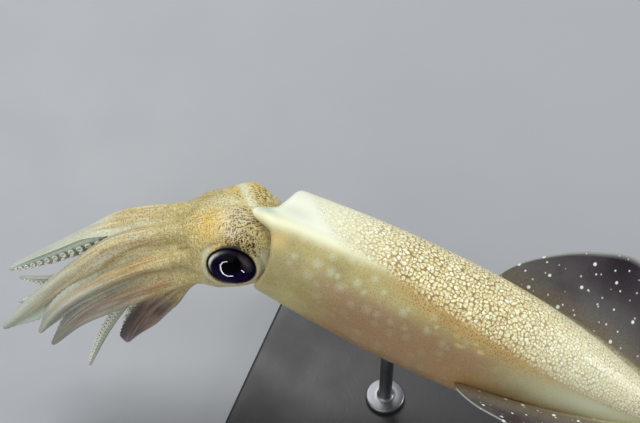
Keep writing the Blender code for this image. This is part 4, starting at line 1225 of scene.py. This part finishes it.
turn, shares = full_turn(24), np.linspace(-0.04, 1, 90)
for name, row in TENTACLES.items():
    length = row[1]
    point, forward, outward, sideways = limb_frames(row, TENTACLE_CIRCLE, np.clip(shares, 0, 1))
    point = point + forward * np.minimum(shares, 0)[:, None] * length
    depth, side = arm_section(turn, club_half_width(shares), shares, TENTACLE_KEEL, length)
    rings = swept(point, depth, side, outward, sideways)
    points, faces = closed_tube(rings, point[0], point[-1] + forward[-1] * 0.2)
    limb = limb_rows(CROWN_Q + shares * length, turn, 8, np.clip(shares, 0.3, 1))
    limb = np.concatenate([limb, [[CROWN_Q, 0, 8, 0.3], [CROWN_Q + length, 0, 8, 1]]])
    nothing = np.zeros((len(limb), 3))
    tentacle = add_piece(
        f"tentacle_{name}", points, faces, HEAD_FINISH, "arm_skin",
        about=np.stack([limb[:, 0], 2 * fold(limb[:, 1]), limb[:, 3]], -1), by_eye=nothing,
        tint_brow=nothing, tint_lid=nothing, tint_arm=arm_tints(limb),
    )
    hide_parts(f"tentacle_{name}_stalk", f"tentacle_{name}_club")

# %% [markdown]
# ## The suckers
# Two rows of small cups run down each arm on the side of the mouth, each on a short stalk and with a ring
# round its opening. All of them are one profile turned round its own axis, worked out for every place
# at once, so a few hundred cups cost little.

# %% One cup's profile, set along every limb
# radius and height, in the cup's own radius
CUP = np.array([
    (0.42, -0.5), (0.40, 0.0), (0.62, 0.3), (0.95, 0.65), (1.0, 0.95), (0.9, 1.1), (0.72, 1.08), (0.6, 0.85),
    (0.3, 0.7),
])
CUP_SIDES, CUP_FOOT, CUP_FLOOR, LEAST_PITCH, LEAST_RADIUS = 12, -0.5, 0.66, 0.55, 0.12


def cup_places(start, end, pitch, half_width, length):
    """Shares of the length, each a pitch that shrinks with the width after the last."""
    found = [start]
    while found[-1] < end:
        found.append(found[-1] + max(LEAST_PITCH, pitch * float(half_width(found[-1]))) / length)
    return np.array(found[:-1])


def cups(frames, width, lateral, size, tilt):
    """Cups on the oral face: the profile turned round an axis that leans to the cup's own side.

    Gives each cup's rings with the two points that close them, foot and floor.
    """
    point, forward, outward, sideways = frames
    width, lean = width[:, None], math.radians(tilt) * np.sign(lateral)
    axis = -outward * math.cos(lean) + sideways * math.sin(lean)
    radius = np.maximum(size * width, LEAST_RADIUS)
    depth = ORAL_FLATNESS * math.sqrt(1 - lateral**2)
    foot = point + sideways * lateral * width - outward * depth * width
    across = unit(np.cross(axis, forward))
    turn = full_turn(CUP_SIDES)[:, None]
    flat = np.cos(turn) * forward[:, None] + np.sin(turn) * across[:, None]
    rings = foot[:, None, None] + radius[:, None, None] * CUP[:, :1, None] * flat[:, None]
    rings = rings + radius[:, None, None] * CUP[:, 1:, None] * axis[:, None, None]
    ends = np.stack([foot + axis * radius * CUP_FOOT, foot + axis * radius * CUP_FLOOR], 1)
    return np.concatenate([rings.reshape(len(foot), -1, 3), ends], 1)


def add_cups(name, sets):
    """All cups of the sets as one piece, with the place on the profile, from 0 to 1, as a layer."""
    blocks = np.concatenate(sets)
    count, size, _ = blocks.shape
    one = np.arange(size - 2).reshape(-1, CUP_SIDES)
    shift = np.arange(count)[:, None, None] * size
    quads, threes = np.array(wall(one)), np.array(fan(one[0], size - 2) + fan(one[-1], size - 1))
    faces = (quads + shift).reshape(-1, 4).tolist() + (threes + shift).reshape(-1, 3).tolist()
    profile = np.append(np.repeat(np.linspace(0, 1, len(CUP)), CUP_SIDES), [0, 1])
    add_piece(name, blocks.reshape(-1, 3), faces, SUCKER_FINISH, "arm_skin", ring=np.tile(profile, count))
    print(count, "cups")


# a cup's radius as a share of the arm's half width: the lowest arm on the right has the largest cups
CUP_SIZES = {name: 0.52 if name == "right_4" else 0.36 for name in names}
for half in ("left", "right"):
    sets = []
    for name in names:
        if not name.startswith(half):
            continue
        wide = partial(arm_half_width, swell=ARMS[name][6])
        shares = cup_places(0.1, 0.975, 0.56, wide, ARMS[name][1])
        for k, lateral in ((0, -0.46), (1, 0.46)):
            chosen = shares[k::2]
            sets.append(cups(arm_frames(name, chosen), wide(chosen), lateral, CUP_SIZES[name], 16))
    add_cups(f"arm_suckers_{half}", sets)
sets = []
for row in TENTACLES.values():
    shares = cup_places(0.62, 0.985, 0.5, club_half_width, row[1])
    for k, lateral, size in ((0, -0.7, 0.2), (1, -0.26, 0.3), (0, 0.26, 0.3), (1, 0.7, 0.2)):
        chosen = shares[k::2]
        frames = limb_frames(row, TENTACLE_CIRCLE, chosen)
        sets.append(cups(frames, club_half_width(chosen), lateral, size, 12))
add_cups("club_suckers", sets)

# %% [markdown]
# ## The eyes
# A squid's eye is large and flat, and clear wet skin covers it. The eyeball is a wide lens, almost black,
# with a thin silver crescent and a brown one near the lids. A thin coat on it stands for the clear skin and
# gives the wet glint.

# %% Eyeballs
for side, name in ((1, "left"), (-1, "right")):
    centre, along, across, outward = eye_frame(side)
    turn, polar = full_turn(96)[:, None], np.linspace(math.pi * 0.96, 0, 90)[:-1, None, None]
    flat = np.cos(turn) * along * EYE_LONG + np.sin(turn) * across * EYE_TALL[side]
    rings = centre + np.sin(polar) * flat + np.cos(polar) * outward * EYE_DEEP
    points, faces = closed_tube(rings, centre - outward * EYE_DEEP, centre + outward * EYE_DEEP)
    away = points - centre
    look = np.stack([away @ along / EYE_LONG, away @ across / EYE_TALL[side], away @ outward / EYE_DEEP], -1)
    r, _, ahead, up = lid_share(points, side)
    around = np.degrees(np.arctan2(up, ahead))
    silver = 0.9 * bell(r, 0.87, 0.05) * bell(around, 34, 29)
    brown = 0.75 * bell(r, 0.78, 0.12) * bell(around, 140, 26)
    pupil = smooth((1.12 - np.hypot((look[:, 0] + 0.1) / 0.38, (look[:, 1] - 0.34) / 0.42)) / 0.3)
    ball = add_piece(
        f"eye_ball_{name}", points, faces, EYE_FINISH, "eye", look=look,
        iris=np.stack([silver, brown, pupil], -1), rim=smooth((r - 0.9) / 0.05),
    )
    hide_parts(f"eye_{name}")

# %% [markdown]
# ## The funnel and the mouth
# The funnel is the jet under the neck: a soft flattened tube that opens forward. The mouth is a ring of
# folded lips in the middle of the arms, with the tip of a horny beak between them.

# %% The funnel
FUNNEL_LENGTH, FUNNEL_ROOT, FUNNEL_MOUTH, FUNNEL_WALL = 27.0, (6.9, 3.0), (3.0, 2.5), 0.6


def funnel_ring(share, inset, turn):
    """An oval that narrows forward and bends down and to the left by powers of the share."""
    share, inset = share[:, None], inset[:, None]
    wide, tall = (root + (mouth - root) * share - inset for root, mouth in zip(FUNNEL_ROOT, FUNNEL_MOUTH))
    wrinkle = 1 + 0.03 * np.sin(9 * turn) * share**2
    x = CAVITY_X - 0.3 - FUNNEL_LENGTH * share + 0 * turn
    y = -3.2 * share**2 - wide * wrinkle * np.sin(turn)
    z = -9.4 - 7.5 * np.abs(share) ** 1.8 + tall * wrinkle * np.cos(turn)
    return np.stack([x, y, z], -1)


bend = np.linspace(0, math.pi, 6)
shares = np.concatenate([np.linspace(0, 1, 40)[:-1], 1 + 0.012 * np.sin(bend), np.linspace(1, 0.6, 14)[1:]])
insets = np.concatenate([np.zeros(39), FUNNEL_WALL / 2 * (1 - np.cos(bend)), np.full(13, FUNNEL_WALL)])
points, faces = closed_tube(funnel_ring(shares, insets, full_turn(48)))
funnel = add_piece("funnel_tube", points, faces, FUNNEL_FINISH, "squid_skin")
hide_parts("funnel")

# %% The lips
# reach and radius, in shares of the whole
LIPS = np.array([
    (0, 1), (0.3, 1.02), (0.55, 1.0), (0.72, 0.9), (0.83, 0.75), (0.86, 0.6), (0.8, 0.48), (0.68, 0.42)
])
LIP_REACH, LIP_RADIUS, LIP_FOLDS = 5.0, 2.0, 10
mouth = crown_point + crown_up * 1.2
turn = full_turn(60)
folds = 1 + 0.07 * np.cos(LIP_FOLDS * turn) * smooth((LIPS[:, :1] - 0.3) / 0.4)
flat = np.cos(turn)[:, None] * crown_up + np.sin(turn)[:, None] * crown_right
rings = mouth + crown_forward * LIP_REACH * LIPS[:, :1, None]
rings = rings + flat * LIP_RADIUS * (LIPS[:, 1:] * folds)[..., None]
points, faces = closed_tube(rings, end=rings[-1].mean(0) - crown_forward * 0.3)
lips = add_piece("mouth_lips", points, faces, MOUTH_FINISH, "arm_skin")
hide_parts("mouth")

# %% The beak
turn, shares = full_turn(24)[:, None], np.linspace(0, 1, 16)[:-1, None]
flat = np.cos(turn) * crown_up * 0.55 + np.sin(turn) * crown_right
for name, sign in (("upper", 1.0), ("lower", -1.0)):
    hook = sign * (0.42 - 0.55 * shares**2)
    middle = mouth + crown_forward * (3.2 + 1.7 * shares) + crown_up * hook
    rings = middle[:, None] + 0.62 * (1 - shares[:, None]) ** 0.7 * flat
    points, faces = closed_tube(rings, end=mouth - crown_up * 0.13 * sign + crown_forward * 4.9)
    add_piece(f"beak_{name}", points, faces, BEAK_FINISH, "arm_skin")

# %% [markdown]
# ## The stand
# A flat plate with rounded corners and a softly turned edge, and two slim rods on small feet that hold the
# mantle by its belly. They are lofted from the same rings as the rest.

# %% Plate
PLATE_LENGTH, PLATE_WIDTH, PLATE_HEIGHT, PLATE_CORNER, PLATE_BEVEL = 120.0, 76.0, 8.0, 14.0, 1.2


def plate_rings():
    """A rounded rectangle, lifted and drawn in round a quarter circle at its upper edge."""
    quarter, bend = np.linspace(0, math.pi / 2, 17), np.linspace(0, math.pi / 2, 7)
    turn = np.concatenate([quarter + k * math.pi / 2 for k in range(4)])
    corners = np.repeat([(1, 1), (-1, 1), (-1, -1), (1, -1)], 17, 0)
    middle = corners * (np.array([PLATE_LENGTH, PLATE_WIDTH]) / 2 - PLATE_CORNER)
    insets = np.concatenate([[0.5, 0.0], PLATE_BEVEL * (1 - np.cos(bend)), [PLATE_BEVEL + 3.0]])
    heights = PLATE_HEIGHT + np.concatenate([
        [-PLATE_HEIGHT, 0.5 - PLATE_HEIGHT], PLATE_BEVEL * (np.sin(bend) - 1), [0.0]
    ])
    flat = middle + np.stack([np.cos(turn), np.sin(turn)], -1) * (PLATE_CORNER - insets)[:, None, None]
    return np.concatenate([flat, np.broadcast_to(heights[:, None, None], (*flat.shape[:2], 1))], -1)


points, faces = closed_tube(plate_rings() * MM, [0, 0, 0], [0, 0, PLATE_HEIGHT * MM])
plate = add_piece("stand_plate", points, faces, PLATE_FINISH, "stand_plate", world=True)
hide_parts("stand_base")

# %% Rods
ROD_PLACES = {"front": 36.0, "rear": 84.0}
ROD_RADIUS, FOOT_RADIUS, FOOT_TOP, ROD_SINK = 2.0, 6.0, 10.0, 1.2
turn, bend = full_turn(48), np.linspace(0, math.pi / 2, 6)
radii = np.concatenate([
    [5.6, FOOT_RADIUS], FOOT_RADIUS - 0.6 * (1 - np.cos(bend)), [3.4], ROD_RADIUS + 1 - np.sin(bend),
    [ROD_RADIUS, ROD_RADIUS],
])[:, None]
for name, x in ROD_PLACES.items():
    middle_x = to_world([x, 0, 0])[0] / MM
    top = to_world(mantle_point(x, math.pi))[2] / MM
    heights = np.concatenate([
        [PLATE_HEIGHT, PLATE_HEIGHT + 0.3], FOOT_TOP - 0.8 * (1 - np.sin(bend)), [FOOT_TOP + 0.1],
        FOOT_TOP + 1.1 - np.cos(bend), [30, top + ROD_SINK],
    ])[:, None]
    rings = np.stack([middle_x + radii * np.cos(turn), radii * np.sin(turn), heights + 0 * turn], -1)
    points, faces = closed_tube(rings * MM)
    rod = add_piece(f"stand_rod_{name}_steel", points, faces, STEEL_FINISH, "stand_steel", world=True)
    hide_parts(f"stand_rod_{name}")

# %% [markdown]
# ## Floor, light and camera
# A wide pale floor and three soft lamps, as on a photographer's table. A bent strip of light, which only the
# eyes receive, makes the curved glint of the photograph. The camera stands where the photograph was taken
# from, above and to the left of the animal.

# %% Floor
bpy.ops.mesh.primitive_plane_add(size=6, location=(0, 0, 0))
floor = bpy.context.object
floor.name = "floor"
floor.data.materials.append(FLOOR_FINISH)
print("floor:", round(floor.dimensions.x), "m wide")

# %% Camera
FOCAL_PIXELS, FRAME_PIXELS, SENSOR, DISTANCE = 1785.0, 640, 36.0, 500.0
# the frame's middle is seen at these pixels to the right of the rim's middle and above it
MIDDLE_RIGHT, MIDDLE_UP = 320 - 274.6, 238 - 211.5
right_way = np.array([0.905, 0.360, 0.226])
up_way = np.array([-0.425, 0.768, 0.479])
back_way = np.array([-0.001, -0.530, 0.848])
aim = (MIDDLE_RIGHT * right_way + MIDDLE_UP * up_way) * DISTANCE / FOCAL_PIXELS
lens = bpy.data.cameras.new("camera")
lens.sensor_width, lens.lens, lens.clip_start = SENSOR, FOCAL_PIXELS * SENSOR / FRAME_PIXELS, 0.01
camera = bpy.data.objects.new("camera", lens)
camera.location = Vector(to_world(aim + DISTANCE * back_way))
camera.rotation_euler = (math.radians(90 - 55.4), 0, math.radians(21.1))
bpy.context.scene.collection.objects.link(camera)
bpy.context.scene.camera = camera
print("camera at", [round(value, 3) for value in camera.location])

# %% Lamps and the room's light
LAMP_AIM = (0, 0, 0.06)


def lamp(name, place, aim, size, power):
    """A square soft lamp that faces a point."""
    data = bpy.data.lights.new(name, "AREA")
    data.shape, data.size, data.energy = "SQUARE", size, power
    made = bpy.data.objects.new(name, data)
    made.location = place
    made.rotation_euler = (Vector(aim) - Vector(place)).to_track_quat("-Z", "Y").to_euler()
    bpy.context.scene.collection.objects.link(made)
    return made


lamp("key_lamp", (-0.4, 0.3, 0.8), LAMP_AIM, 0.45, 5.8)
lamp("fill_lamp", (-0.3, -0.85, 0.62), LAMP_AIM, 1.1, 6.3)
lamp("rim_lamp", (0.6, 0.35, 0.35), LAMP_AIM, 0.3, 2.6)
world = bpy.data.worlds.new("room")
world.use_nodes = True
world.node_tree.nodes["Background"].inputs["Color"].default_value = (0.9, 0.93, 1.0, 1)
world.node_tree.nodes["Background"].inputs["Strength"].default_value = 0.32
bpy.context.scene.world = world
bpy.context.scene.view_settings.view_transform = "Standard"
print("lamps:", len(bpy.data.lights))

# %% A bent strip of light, seen mirrored in the left eye
STRIP_RADIANCE, STRIP_WIDTH, STRIP_REACH = 210.0, 0.0038, 75.0


def mirrored(ahead, up):
    """Where a lamp stands that the eyeball shows to the camera at two shares of its half axes.

    The ray back from the eye is twice the normal times its share of the view, less the view.
    """
    centre, along, across, outward = eye_frame(1)
    deep = math.sqrt(1 - ahead**2 - up**2)
    spot = centre + ahead * EYE_LONG * along + up * EYE_TALL[1] * across + deep * EYE_DEEP * outward
    normal = unit(ahead / EYE_LONG * along + up / EYE_TALL[1] * across + deep / EYE_DEEP * outward)
    view = unit(aim + DISTANCE * back_way - spot)
    return to_world(spot + STRIP_REACH * (2 * normal.dot(view) * normal - view))


BENDS = ((0.03, 0.5), (0.19, 0.44), (0.28, 0.29), (0.26, 0.06), (0.18, -0.14), (0.02, -0.21), (-0.16, -0.16))
bends = [mirrored(*shares) for shares in BENDS]
runs = list(zip(bends[:-1], bends[1:])) + [(mirrored(-0.46, 0.16), mirrored(-0.55, 0.02))]
eye_place = to_world(eye_frame(1)[0])
eyes_only = bpy.data.collections.new("eyes_only")
for name in ("left", "right"):
    eyes_only.objects.link(bpy.data.objects[f"eye_ball_{name}"])
for k, (start, end) in enumerate(runs):
    middle, long = (start + end) / 2, float(np.linalg.norm(end - start))
    power = STRIP_RADIANCE * math.pi * long * STRIP_WIDTH
    strip = lamp(f"strip_lamp_{k + 1}", middle, eye_place, long, power)
    strip.data.shape, strip.data.size_y = "RECTANGLE", STRIP_WIDTH
    strip.light_linking.receiver_collection = eyes_only
    strip.visible_camera = False
    facing = unit(middle - eye_place)
    run = unit(end - start - facing * facing.dot(end - start))
    strip.rotation_euler = Matrix(np.stack([run, np.cross(facing, run), facing], -1).tolist()).to_euler()
print("strip of light from", np.round(bends[0], 2).tolist(), "to", np.round(bends[-1], 2).tolist())
